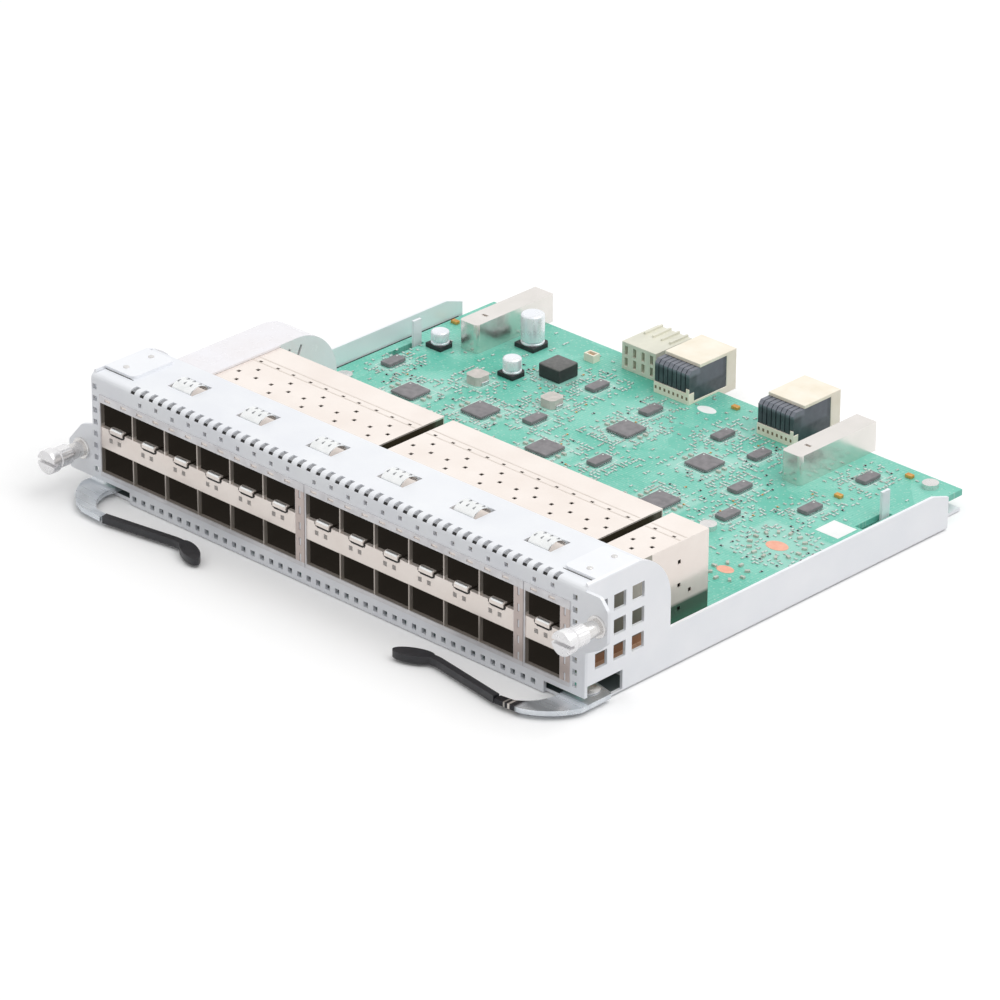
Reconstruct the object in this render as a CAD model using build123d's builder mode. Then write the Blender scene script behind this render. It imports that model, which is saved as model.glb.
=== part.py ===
from build123d import *
import os

# Switch line card: a folded tray with a perforated faceplate, ganged port cages on a circuit
# board, two ejector levers and two captive panel screws.
# Millimetres. X runs across the card, Y from the faceplate towards the rear, Z up.
# The origin is the centre of the tray floor's underside.

# Sheet metal body
card_width = 206.3
face_height = 40.2
face_sheet = 1.2
tray_sheet = 1.0
floor_depth = 172.8
rail_height = 13.4
rail_setback = 12.5
rail_taper_length = 7.3
rail_taper_drop = 2.4
floor_notch = 5.5
cheek_depth = 35.0
cheek_round = 17.0
top_plate_depth = 25.0
fold_radius = 1.8
fold_flats = 4
fit_gap = 0.15

# Folded tabs of the tray that carry the top plate
tab_reach = 13.5
tab_length = 17.3
tab_setback = 4.0
tab_round = 2.0
rivet_radius = 1.0
rivet_height = 0.5
rivet_spacing = 10.3
rivet_inset = 6.5
rivet_sides = 8

# Faceplate perforations
perforation = 1.8
perforation_pitch = 4.0
bottom_row_height = 2.2
bottom_row_shift = -1.1
side_column_count = 8
side_column_height = 7.0
side_column_inset_left = 1.4
side_column_inset_right = 4.0
slot_margin = 12.0
slot_shift = 3.1
slot_run = 3.0
slot_drop = 1.4
lamp_hole = 1.4
lamp_hole_rise = 2.6
lamp_hole_step = 0.35

# Side vents
vent_size = 5.1
vent_pitch_y = 7.75
vent_pitch_z = 8.05
vent_start_y = 5.6
vent_start_z = 14.1

# Ears
ear_left_reach = 11.0
ear_left_tip = 13.2
ear_left_root = 21.7
ear_right_reach = 8.6
ear_right_bottom = 18.4
ear_right_root = 38.2
ear_right_tip = 34.6
ear_slope = 3.0
ear_round = 1.6

# Circuit board
standoff_height = 3.6
standoff_radius = 2.8
standoff_sides = 6
board_sheet = 2.0
board_gap_left = 0.7
board_gap_right = 5.1
board_gap_front = 0.8
board_overhang = 1.5
board_screw_radius = 1.4
board_screw_head = 2.7
board_screw_head_height = 1.6
board_screw_sides = 12
screw_clearance = 0.1

# Port cages
port_pitch = 14.25
port_width = 13.75
port_height = 8.3
port_rise = 15.2
cage_sheet = 0.4
cage_headroom = 1.9
cage_depth = 62.5
cage_gap = 3.7
cage_inset = 3.6
cage_margin = 8.8
window_clearance = 0.2
cage_vent = 1.3
cage_vent_spread = 3.75
cage_vent_rows = 4
cage_vent_pitch = 4.65
cage_vent_start = 37.1
side_vent_start = 49.8
latch_width = 5.6
latch_length = 11.0
latch_notch = 1.3
latch_side_gap = 0.5
latch_rise = 0.9
latch_curl = 0.7
latch_overhang = 0.4
latch_sheet = 0.5
light_pipe = 1.5
light_pipe_spread = 3.7
light_pipe_shift = -0.8
light_pipe_length = 40.0
light_pipe_gap = 0.05
connector_width = 11.0
connector_depth = 12.0
connector_gap = 0.3
connector_slot = 2.2
connector_slot_depth = 7.0

# Spring-finger gaskets round the cage mouths
gasket_sheet = 0.3
gasket_top = 2.6
gasket_bottom = 1.4
gasket_left = 0.5
gasket_right = 3.7
finger_slit = 0.9
finger_slit_length = 2.6
finger_rows = 5
finger_pitch = 5.2

# Contact clips in the top plate
clip_count = 6
clip_first = 29.0
clip_last = 28.3
clip_setback = 14.0
clip_width = 8.0
clip_length = 11.6
clip_sheet = 0.3
clip_crown = 1.4
clip_foot = 1.6
clip_ramp = 0.6
clip_foot_gap = 0.1
clip_window_margin = 1.4

# Air guide over the first port column
guide_sheet = 0.7
guide_start = 27.0
guide_end = 87.0
guide_round = 17.0
guide_clearance = 0.1
guide_side_gap = 0.6
guide_lift = 0.2
guide_slot_pitch = 5.0
guide_slot_length = 4.8
guide_slot_width = 1.0
guide_slot_slant = 25.0

# Ejector levers: points in plan are inwards from the side wall and ahead of the face
lever_sheet = 1.6
lever_lift = 0.2
pivot_inset = 5.0
pivot_setback = 6.5
pivot_radius = 2.5
pivot_clearance = 0.05
pivot_head = 4.0
pivot_head_height = 0.9
pivot_head_gap = 0.1
lever_eye = 4.8
claw_reach = 2.0
claw_front = 3.0
claw_back = 9.5
claw_round = 0.8
lever_reach = 20.0
lever_ahead = 16.2
lever_arm_width = 2.6
lever_outer_bow = (3.2, 10.8)
lever_outer_end = (11.0, 15.6)
lever_inner_start = (15.5, 13.0)
lever_inner_bow = (10.9, 9.0)
lever_inner_end = (8.6, 2.0)
lever_cut_width = 16.0
lever_cut_height = 3.8
notch_depth = 14.8
notch_height = 7.3
grip_width = 2.2
grip_height = 2.4
grip_gap = 0.6
grip_bend = 12.0
grip_elbow = (50.5, 10.2)
grip_tip = (56.0, 12.6)
grip_tip_length = 13.0
grip_tip_width = 5.2
grip_tip_slant = 25.0
tongue_width = 1.0
tongue_length = 11.0
tongue_gap = 0.05

# Captive screws
screw_left_offset = 5.2
screw_left_height = 12.0
screw_right_offset = 4.6
screw_right_height = 28.8
thread_radius = 1.5
bore_clearance = 0.05
sleeve_radius = 2.5
sleeve_flange = 3.5
sleeve_flange_sheet = 0.8
sleeve_neck = 6.6
sleeve_tail = 0.6
knob_head_radius = 3.9
knob_head_length = 3.6
knob_radius = 3.3
knob_length = 8.8
knob_lap = 0.4
knob_cup_radius = 2.75
knob_cup_depth = 5.6
bush_radius = 2.6
bush_length = 1.2
bush_gap = 0.05
collar_radius = 2.1
collar_sheet = 0.8
collar_gap = 0.2
thread_reach = 2.4
screwdriver_slot = 1.0
screwdriver_depth = 1.6

# Components on the board
square_chip = 9.0
square_chip_height = 1.1
small_chip_x = 4.0
small_chip_y = 7.6
small_chip_height = 1.4
tall_module_side = 9.0
tall_module_height = 4.8
tall_module_chamfer = 0.5
inductor = 6.2
inductor_height = 3.0
inductor_chamfer = 1.2
can_base_height = 1.6
can_base_margin = 0.25
passive_x = 1.6
passive_y = 0.9
passive_height = 0.7
large_ring_radius = 8.5
large_ring_count = 14
small_ring_radius = 5.6
small_ring_count = 8
header_x = 4.2
header_y = 3.0
header_height = 2.6
header_wall = 0.6

# Places on the board: share of the way from left to right, and from the cages to the rear edge
board_screw_places = [(0.035, 0.33), (0.81, 0.345), (0.035, 0.94), (0.96, 0.95)]
square_chip_places = [
    (0.149, 0.392),
    (0.277, 0.44),
    (0.444, 0.39),
    (0.489, 0.634),
    (0.658, 0.627),
    (0.697, 0.373),
]
small_chip_places = [
    (0.05, 0.498),
    (0.349, 0.78),
    (0.47, 0.77),
    (0.361, 0.504),
    (0.612, 0.791),
    (0.536, 0.435),
    (0.7, 0.768),
    (0.755, 0.58),
    (0.804, 0.435),
    (0.88, 0.616),
    (0.875, 0.865),
]
tall_module_place = (0.274, 0.761)
inductor_places = [(0.197, 0.575), (0.341, 0.61)]
large_ring_place = (0.924, 0.395)
small_ring_place = (0.93, 0.19)
header_place = (0.272, 0.903)
backplane_shares = {"left": 0.46, "right": 0.679}
power_share = 0.363
guide_block_shares = {"left": 0.104, "right": 0.796}

# Electrolytic capacitors: place as shares, can radius and height above the board
capacitors = [
    ((0.166, 0.856), 3.9, 11.7),
    ((0.06, 0.67), 3.05, 5.8),
    ((0.219, 0.674), 3.1, 6.4),
]

# Rear connectors
backplane_width = 15.0
backplane_height = 12.6
backplane_foot = 2.6
backplane_foot_height = 3.8
backplane_cover = 1.2
backplane_cover_start = 5.2
backplane_front = 14.4
backplane_shroud = 4.6
backplane_reach = 8.0
backplane_drop = 1.6
backplane_wall = 1.2
backplane_seat = 0.8
wafer_count = 8
wafer_gap = 0.35
mating_slot = 0.9
wafer_chamfer = 1.2
power_width = 14.5
power_height = 9.6
power_front = 8.6
power_reach = 8.5
power_blade_count = 4
power_blade_slot = 1.3
power_slot_depth = 2.5
power_rib = 0.8
guide_block_width = 7.9
guide_block_height = 10.0
guide_block_length = 35.5
guide_block_reach = 2.0
guide_block_round = 1.4
guide_bore_radius = 2.6
guide_bore_depth = 24.0
guide_bore_height = 5.2
guide_hole = 1.1

# Upright tabs of the tray that pass through slots in the board
stop_tab_width = 3.5
stop_tab_rise = 8.4
stop_tab_inset_left = 4.8
stop_tab_inset_right = 5.4
stop_tab_left_y = 47.1
stop_tab_right_y = 57.6
stop_slot_length = 14.0
stop_slot_width = 3.0
stop_slot_gap = 0.3

half_width = card_width / 2
tray_front = -floor_depth / 2
tray_rear = floor_depth / 2
face_front = tray_front - face_sheet
rail_rear = tray_rear - rail_setback
plate_top = face_height - tray_sheet
plate_under = plate_top - face_sheet
board_bottom = tray_sheet + standoff_height
board_top = board_bottom + board_sheet
board_left = -half_width + tray_sheet + board_gap_left
board_right = half_width - tray_sheet - board_gap_right
board_front = tray_front + board_gap_front
board_rear = tray_rear + board_overhang
divider = port_pitch - port_width
bottom_row_count = int((card_width - 2 * lever_cut_width - perforation) / perforation_pitch)
slot_count = int((card_width - 2 * slot_margin) / perforation_pitch)
clip_pitch = (card_width - clip_first - clip_last) / (clip_count - 1)
cage_walls = 3 * (2 * cage_sheet - divider)
columns_across = int((card_width - cage_inset - cage_margin - 2 * cage_gap - cage_walls) / port_pitch)
lower_floor = board_top + cage_sheet
upper_floor = lower_floor + port_rise
mouth_top = upper_floor + port_height
spacer_bottom = lower_floor + port_height + cage_sheet
spacer_top = upper_floor - cage_sheet
spacer_middle = (spacer_bottom + spacer_top) / 2
cage_roof = mouth_top + cage_headroom
cage_top = cage_roof + cage_sheet
cage_rear = face_front + cage_depth
connector_front = cage_rear - cage_sheet - connector_gap - connector_depth
bottom_left = (Align.MIN, Align.MIN)
bottom_middle = (Align.CENTER, Align.MIN)

os.makedirs("parts", exist_ok=True)


def plane_at_y(y):
    """Upright sketch plane across the card: an extrude of a negative amount goes to the rear."""
    return Plane.XZ.offset(-y)


def board_spot(across, back):
    """Place on the board, as shares of the way from left to right and from cages to rear edge."""
    spot_x = board_left + across * (board_right - board_left)
    spot_y = cage_rear + back * (board_rear - cage_rear)
    return (spot_x, spot_y)


def fold_point(flat):
    """Corner of the fold's flats, counted from the face up to the top plate."""
    arm = Vector(-fold_radius, 0).rotate(Axis.Z, -90 * flat / fold_flats)
    return (face_front + fold_radius + arm.X, plate_top - fold_radius + arm.Y)


def column_centres(cage_name):
    """Middle of each port column of a cage."""
    left, width, columns = cage_places[cage_name]
    first = left + cage_sheet + port_width / 2
    return [first + column * port_pitch for column in range(columns)]


# Cage places: name, left edge, width and number of columns
cage_places = {}
next_left = -half_width + cage_inset
cage_columns = {"left": columns_across // 2, "middle": (columns_across - 1) // 2, "right": 1}
for cage_name, columns in cage_columns.items():
    cage_width = columns * port_pitch - divider + 2 * cage_sheet
    cage_places[cage_name] = (next_left, cage_width, columns)
    next_left = next_left + cage_width + cage_gap

all_columns = column_centres("left") + column_centres("middle") + column_centres("right")
screw_spots = [board_spot(*place) for place in board_screw_places]
stop_tabs = [
    (board_left + stop_tab_inset_left, stop_tab_left_y, 1),
    (board_right - stop_tab_inset_right, stop_tab_right_y, -1),
]
pivot_y = face_front + pivot_setback

# Folded tray: floor, side walls with tall cheeks and low rails, and the tabs over the top plate
with BuildPart() as base_tray:
    with BuildSketch(Plane.XY):
        Rectangle(card_width, floor_depth)
        with Locations((-half_width + pivot_inset, pivot_y), (half_width - pivot_inset, pivot_y)):
            Circle(pivot_radius, mode=Mode.SUBTRACT)
        with Locations((-half_width, tray_rear), (half_width, tray_rear)):
            Rectangle(2 * floor_notch, 2 * rail_setback, mode=Mode.SUBTRACT)
    extrude(amount=tray_sheet)
    for side in (-1, 1):
        wall_plane = Plane.YZ.offset(side * half_width)
        cheek_rear = tray_front + cheek_depth
        with BuildSketch(wall_plane):
            with BuildLine():
                Polyline(
                    (cheek_rear, face_height - cheek_round),
                    (cheek_rear, rail_height),
                    (rail_rear - rail_taper_length, rail_height),
                    (rail_rear, rail_height - rail_taper_drop),
                    (rail_rear, 0),
                    (tray_front, 0),
                    (tray_front, face_height),
                    (cheek_rear - cheek_round, face_height),
                )
                RadiusArc(
                    (cheek_rear - cheek_round, face_height),
                    (cheek_rear, face_height - cheek_round),
                    cheek_round,
                )
            make_face()
        extrude(amount=-side * tray_sheet)
        with BuildSketch(Plane.XY.offset(face_height)):
            tab_middle = side * (half_width - tab_reach / 2)
            with Locations((tab_middle, tray_front + tab_setback + tab_length / 2)):
                Rectangle(tab_reach, tab_length)
        extrude(amount=-tray_sheet)
        # Square vents and the notch that the lever's claw swings through
        with BuildSketch(wall_plane):
            with Locations((tray_front + vent_start_y + vent_pitch_y, vent_start_z + vent_pitch_z)):
                with GridLocations(vent_pitch_y, vent_pitch_z, 3, 3):
                    Rectangle(vent_size, vent_size)
            with Locations((tray_front, tray_sheet)):
                Rectangle(notch_depth, notch_height - tray_sheet, align=bottom_left)
        extrude(amount=-side * tray_sheet, mode=Mode.SUBTRACT)
    # Lanced tabs stand up beside the openings that they leave in the floor
    for tab_x, tab_y, inward in stop_tabs:
        tab_height = board_top + stop_tab_rise
        with BuildSketch(Plane.XY):
            with Locations((tab_x + inward * (tray_sheet + tab_height) / 2, tab_y)):
                Rectangle(tab_height, stop_tab_width)
        extrude(amount=tray_sheet, mode=Mode.SUBTRACT)
        with BuildSketch(Plane.XY):
            with Locations((tab_x, tab_y)):
                Rectangle(tray_sheet, stop_tab_width)
        extrude(amount=tab_height)
    outer_edges = base_tray.edges().filter_by(Axis.Y)
    outer_edges = outer_edges.filter_by(lambda edge: abs(edge.center().X) > half_width - 0.01)
    fillet(outer_edges.group_by(Axis.Z)[0] + outer_edges.group_by(Axis.Z)[-1], tray_sheet * 0.9)
    tab_corners = base_tray.edges().filter_by(Axis.Z).group_by(Axis.Z)[-1]
    tab_corners = tab_corners.filter_by(lambda edge: abs(edge.center().X) < half_width - tray_sheet)
    fillet(tab_corners, tab_round)
base_tray.part.label = "base_tray"
export_step(base_tray.part, "parts/base_tray.step")

# Faceplate and top plate folded from one sheet, with ears, windows and perforations
with BuildPart() as faceplate:
    with BuildSketch(plane_at_y(face_front)):
        with BuildLine():
            Polyline(
                (-half_width + lever_cut_width, 0),
                (half_width - lever_cut_width, 0),
                (half_width - lever_cut_width, lever_cut_height),
                (half_width, lever_cut_height),
                (half_width, ear_right_bottom),
                (half_width + ear_right_reach - ear_slope, ear_right_bottom + ear_slope),
                (half_width + ear_right_reach, ear_right_bottom + 2 * ear_slope),
                (half_width + ear_right_reach, ear_right_tip),
                (half_width + ear_right_reach - ear_slope, ear_right_root),
                (half_width, ear_right_root),
                (half_width, plate_top),
                (-half_width, plate_top),
                (-half_width, ear_left_root),
                (-half_width - ear_left_reach + 2 * ear_slope, ear_left_root - ear_slope / 2),
                (-half_width - ear_left_reach, ear_left_tip),
                (-half_width - ear_left_reach, lever_cut_height),
                (-half_width + lever_cut_width, lever_cut_height),
                close=True,
            )
        make_face()
    extrude(amount=-face_sheet)
    ear_corners = faceplate.edges().filter_by(Axis.Y)
    fillet(ear_corners.filter_by(lambda edge: abs(edge.center().X) > half_width + 1), ear_round)
    # Top plate between the tray's side walls, joined to the face by a rounded fold
    with BuildSketch(Plane.XY.offset(plate_top)):
        with Locations((0, face_front)):
            plate_width = card_width - 2 * tray_sheet - 2 * fit_gap
            Rectangle(plate_width, top_plate_depth, align=bottom_middle)
    extrude(amount=-face_sheet)
    inner_fold = faceplate.edges().filter_by(Axis.X).filter_by(
        lambda edge: abs(edge.center().Z - plate_under) + abs(edge.center().Y - tray_front) < 0.01
    )
    chamfer(inner_fold, fold_radius - face_sheet)
    with BuildSketch(Plane.YZ.offset(-half_width)):
        with BuildLine():
            fold_points = [fold_point(flat) for flat in range(fold_flats + 1)]
            Polyline((face_front, plate_top), *fold_points, close=True)
        make_face()
    extrude(amount=card_width, mode=Mode.SUBTRACT)
    # Windows for the cages
    with BuildSketch(plane_at_y(face_front)):
        for left, width, columns in cage_places.values():
            with Locations((left + width / 2, (board_top + cage_top) / 2)):
                window_height = cage_top - board_top + 2 * window_clearance
                Rectangle(width + 2 * window_clearance, window_height)
    extrude(amount=-face_sheet, mode=Mode.SUBTRACT)
    # Perforated row under the cages, columns beside them and small holes above them
    with BuildSketch(plane_at_y(face_front)):
        with Locations((bottom_row_shift, bottom_row_height)):
            with GridLocations(perforation_pitch, 1, bottom_row_count, 1):
                Rectangle(perforation, perforation)
        column_middle = side_column_height + (side_column_count - 1) * perforation_pitch / 2
        left_column = -half_width + side_column_inset_left
        right_column = half_width - side_column_inset_right
        with Locations((left_column, column_middle), (right_column, column_middle)):
            with GridLocations(1, perforation_pitch, 1, side_column_count):
                Rectangle(perforation, perforation)
        lamp_height = cage_top + lamp_hole_rise
        for column_x in all_columns[1:]:
            for step in (-1, 1):
                with Locations((column_x + step * port_pitch / 4, lamp_height + step * lamp_hole_step)):
                    Rectangle(lamp_hole, lamp_hole)
    extrude(amount=-face_sheet, mode=Mode.SUBTRACT)
    # Slots that wrap over the fold, and windows under the contact clips
    with BuildSketch(Plane.XY.offset(plate_top)):
        with Locations((slot_shift, face_front)):
            with GridLocations(perforation_pitch, 1, slot_count, 1):
                Rectangle(perforation, 2 * slot_run)
    extrude(amount=-slot_drop, mode=Mode.SUBTRACT)
    with BuildSketch(Plane.XY.offset(plate_top)):
        clips_middle = -half_width + clip_first + (clip_count - 1) * clip_pitch / 2
        with Locations((clips_middle, face_front + clip_setback)):
            with GridLocations(clip_pitch, 1, clip_count, 1):
                Rectangle(clip_width + 2 * clip_window_margin, clip_length - 2 * clip_foot)
    extrude(amount=-face_sheet, mode=Mode.SUBTRACT)
    # Holes for the captive screws' sleeves
    with BuildSketch(plane_at_y(face_front)):
        with Locations(
            (-half_width - screw_left_offset, screw_left_height),
            (half_width + screw_right_offset, screw_right_height),
        ):
            Circle(sleeve_radius)
    extrude(amount=-face_sheet, mode=Mode.SUBTRACT)
faceplate.part.label = "faceplate"
export_step(faceplate.part, "parts/faceplate.step")

# Rivets that hold the tray's tabs to the top plate
with BuildPart() as plate_rivets:
    with BuildSketch(Plane.XY.offset(face_height)):
        with Locations((0, tray_front + tab_setback + tab_length / 2)):
            with GridLocations(card_width - 2 * rivet_inset, rivet_spacing, 2, 2):
                RegularPolygon(rivet_radius, rivet_sides)
    extrude(amount=rivet_height)
plate_rivets.part.label = "plate_rivets"
export_step(plate_rivets.part, "parts/plate_rivets.step")

# Contact clips: bowed spring leaves whose feet lie under the top plate
with BuildPart() as contact_clips:
    clip_y = face_front + clip_setback
    half_length = clip_length / 2
    half_bow = half_length - clip_foot - clip_foot_gap
    for clip in range(clip_count):
        clip_start = -half_width + clip_first + clip * clip_pitch - clip_width / 2
        with BuildSketch(Plane.YZ.offset(clip_start)):
            with BuildLine():
                Polyline(
                    (clip_y - half_bow + clip_ramp, plate_top + clip_sheet),
                    (clip_y - half_bow, plate_under),
                    (clip_y - half_length, plate_under),
                    (clip_y - half_length, plate_under - clip_sheet),
                    (clip_y - half_bow + clip_sheet, plate_under - clip_sheet),
                    (clip_y - half_bow + clip_sheet + clip_ramp, plate_top),
                )
                ThreePointArc(
                    (clip_y - half_bow + clip_sheet + clip_ramp, plate_top),
                    (clip_y, plate_top + clip_crown),
                    (clip_y + half_bow - clip_sheet - clip_ramp, plate_top),
                )
                Polyline(
                    (clip_y + half_bow - clip_sheet - clip_ramp, plate_top),
                    (clip_y + half_bow - clip_sheet, plate_under - clip_sheet),
                    (clip_y + half_length, plate_under - clip_sheet),
                    (clip_y + half_length, plate_under),
                    (clip_y + half_bow, plate_under),
                    (clip_y + half_bow - clip_ramp, plate_top + clip_sheet),
                )
                ThreePointArc(
                    (clip_y + half_bow - clip_ramp, plate_top + clip_sheet),
                    (clip_y, plate_top + clip_crown + clip_sheet),
                    (clip_y - half_bow + clip_ramp, plate_top + clip_sheet),
                )
            make_face()
        extrude(amount=clip_width)
contact_clips.part.label = "contact_clips"
export_step(contact_clips.part, "parts/contact_clips.step")

# Circuit board with screw holes and the slots for the tray's upright tabs
with BuildPart() as circuit_board:
    with BuildSketch(Plane.XY.offset(board_bottom)):
        with Locations((board_left, board_front)):
            Rectangle(board_right - board_left, board_rear - board_front, align=bottom_left)
        with Locations(*screw_spots):
            RegularPolygon(
                board_screw_radius + screw_clearance, board_screw_sides, mode=Mode.SUBTRACT
            )
        for tab_x, tab_y, inward in stop_tabs:
            slot_rear = tab_y + stop_tab_width / 2 + stop_slot_gap
            with Locations((tab_x, slot_rear - stop_slot_length / 2)):
                Rectangle(stop_slot_width, stop_slot_length, mode=Mode.SUBTRACT)
    extrude(amount=board_sheet)
circuit_board.part.label = "circuit_board"
export_step(circuit_board.part, "parts/circuit_board.step")

# Threaded posts pressed into the tray floor
with BuildPart() as board_standoffs:
    with BuildSketch(Plane.XY.offset(tray_sheet)):
        with Locations(*screw_spots):
            RegularPolygon(standoff_radius, standoff_sides)
            RegularPolygon(
                board_screw_radius + screw_clearance / 2, board_screw_sides, mode=Mode.SUBTRACT
            )
    extrude(amount=standoff_height)
board_standoffs.part.label = "board_standoffs"
export_step(board_standoffs.part, "parts/board_standoffs.step")

# Screws that hold the board
with BuildPart() as board_screws:
    with BuildSketch(Plane.XY.offset(board_top)):
        with Locations(*screw_spots):
            RegularPolygon(board_screw_head, board_screw_sides)
    extrude(amount=board_screw_head_height)
    with BuildSketch(Plane.XY.offset(board_top)):
        with Locations(*screw_spots):
            RegularPolygon(board_screw_radius, board_screw_sides)
    extrude(amount=-(board_sheet + standoff_height - fit_gap))
board_screws.part.label = "board_screws"
export_step(board_screws.part, "parts/board_screws.step")

# Ganged port cages: folded sheet round open ports, two storeys and a hollow spacer between them
for cage_name, (left, width, columns) in cage_places.items():
    centres = column_centres(cage_name)
    with BuildPart() as port_cage:
        with BuildSketch(plane_at_y(face_front)):
            with Locations((left, board_top)):
                Rectangle(width, cage_top - board_top, align=bottom_left)
        extrude(amount=-cage_depth)
        # Port mouths
        with BuildSketch(plane_at_y(face_front)):
            for centre in centres:
                with Locations((centre, lower_floor), (centre, upper_floor)):
                    Rectangle(port_width, port_height, align=bottom_middle)
        extrude(amount=-(cage_depth - cage_sheet), mode=Mode.SUBTRACT)
        # Headroom behind the mouth's lip, and the hollow of the spacer
        with BuildSketch(plane_at_y(face_front + cage_sheet)):
            for centre in centres:
                with Locations((centre, mouth_top)):
                    Rectangle(port_width, cage_headroom, align=bottom_middle)
                with Locations((centre, spacer_bottom)):
                    Rectangle(port_width, spacer_top - spacer_bottom, align=bottom_middle)
        extrude(amount=-(cage_depth - 2 * cage_sheet), mode=Mode.SUBTRACT)
        # Passage for the host connectors, from the board up through both storeys
        with BuildSketch(plane_at_y(connector_front - connector_gap)):
            for centre in centres:
                with Locations((centre, board_top)):
                    passage_width = connector_width + 2 * connector_gap
                    Rectangle(passage_width, upper_floor - board_top, align=bottom_middle)
        extrude(amount=-(connector_depth + 2 * connector_gap), mode=Mode.SUBTRACT)
        # Light pipe holes in the band
        with BuildSketch(plane_at_y(face_front)):
            for centre in centres:
                with Locations((centre + light_pipe_shift, spacer_middle)):
                    with GridLocations(light_pipe_spread, 1, 2, 1):
                        Rectangle(light_pipe, light_pipe)
        extrude(amount=-cage_sheet, mode=Mode.SUBTRACT)
        # Notches round the latch tongues
        with BuildSketch(plane_at_y(face_front)):
            for centre in centres:
                with Locations((centre, upper_floor - latch_notch)):
                    Rectangle(latch_width + 2 * latch_side_gap, latch_notch, align=bottom_middle)
        extrude(amount=-latch_length, mode=Mode.SUBTRACT)
        # Latch tongues that rise towards the mouth and curl over its edge
        for centre in centres:
            with BuildSketch(Plane.YZ.offset(centre - latch_width / 2)):
                with BuildLine():
                    Polyline(
                        (face_front + latch_length, upper_floor - cage_sheet),
                        (face_front + latch_length, upper_floor),
                        (face_front + latch_sheet, upper_floor + latch_rise),
                        (face_front - latch_overhang, upper_floor + latch_rise - latch_sheet),
                        (face_front - latch_overhang, upper_floor - latch_curl),
                        (face_front + latch_sheet / 4, upper_floor - latch_curl),
                        (face_front + latch_sheet / 2, upper_floor + latch_rise - latch_sheet),
                        close=True,
                    )
                make_face()
            extrude(amount=latch_width)
        # Vent holes through the roof, one and two by turns over each column
        with BuildSketch(Plane.XY.offset(cage_top)):
            for centre in centres:
                for row in range(cage_vent_rows):
                    row_y = face_front + cage_vent_start + row * cage_vent_pitch
                    with Locations((centre, row_y)):
                        with GridLocations(2 * cage_vent_spread, 1, 1 + row % 2, 1):
                            Rectangle(cage_vent, cage_vent)
        extrude(amount=-cage_sheet, mode=Mode.SUBTRACT)
        # Vent holes in the outer side walls
        for wall_x, inward in ((left, 1), (left + width, -1)):
            with BuildSketch(Plane.YZ.offset(wall_x)):
                with Locations(
                    (face_front + side_vent_start, lower_floor + port_height / 2),
                    (face_front + side_vent_start + cage_vent_pitch, spacer_bottom),
                    (face_front + side_vent_start, spacer_middle),
                    (face_front + side_vent_start, upper_floor + port_height / 2),
                ):
                    Rectangle(cage_vent, cage_vent)
            extrude(amount=inward * cage_sheet, mode=Mode.SUBTRACT)
    port_cage.part.label = f"port_cage_{cage_name}"
    export_step(port_cage.part, f"parts/port_cage_{cage_name}.step")

    # Spring-finger gasket that laps the faceplate round the cage mouths
    with BuildPart() as cage_gasket:
        with BuildSketch(plane_at_y(face_front)):
            mouth_left = left + cage_sheet
            mouth_width = width - 2 * cage_sheet
            with Locations((mouth_left - gasket_left, lower_floor - gasket_bottom)):
                gasket_width = gasket_left + mouth_width + gasket_right
                gasket_height = gasket_bottom + mouth_top - lower_floor + gasket_top
                Rectangle(gasket_width, gasket_height, align=bottom_left)
            with Locations((mouth_left, lower_floor)):
                Rectangle(mouth_width, mouth_top - lower_floor, align=bottom_left, mode=Mode.SUBTRACT)
            for centre in centres:
                with Locations((centre, mouth_top + gasket_top / 2)):
                    with GridLocations(port_pitch / 2, 1, 2, 1):
                        Rectangle(finger_slit_length, finger_slit, mode=Mode.SUBTRACT)
            strip_middle = mouth_left + mouth_width + gasket_right / 2
            with Locations((strip_middle, (lower_floor + mouth_top) / 2)):
                with GridLocations(1, finger_pitch, 1, finger_rows):
                    Rectangle(finger_slit, finger_slit_length, mode=Mode.SUBTRACT)
        extrude(amount=gasket_sheet)
    cage_gasket.part.label = f"cage_gasket_{cage_name}"
    export_step(cage_gasket.part, f"parts/cage_gasket_{cage_name}.step")

# Host connectors inside the cages: a tower for each column with a card slot for each storey
with BuildPart() as host_connectors:
    with BuildSketch(Plane.XY.offset(board_top)):
        for centre in all_columns:
            with Locations((centre, connector_front)):
                Rectangle(connector_width, connector_depth, align=bottom_middle)
    extrude(amount=mouth_top - board_top)
    with BuildSketch(plane_at_y(connector_front)):
        for centre in all_columns:
            for floor in (lower_floor, upper_floor):
                with Locations((centre, floor + port_height / 2)):
                    Rectangle(connector_width - connector_slot, connector_slot)
    extrude(amount=-connector_slot_depth, mode=Mode.SUBTRACT)
host_connectors.part.label = "host_connectors"
export_step(host_connectors.part, "parts/host_connectors.step")

# Light pipes that run through the hollow spacers to the band's holes
with BuildPart() as light_pipes:
    with BuildSketch(plane_at_y(face_front)):
        for centre in all_columns:
            with Locations((centre + light_pipe_shift, spacer_middle)):
                with GridLocations(light_pipe_spread, 1, 2, 1):
                    Rectangle(light_pipe - 2 * light_pipe_gap, light_pipe - 2 * light_pipe_gap)
    extrude(amount=-light_pipe_length)
light_pipes.part.label = "light_pipes"
export_step(light_pipes.part, "parts/light_pipes.step")

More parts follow.
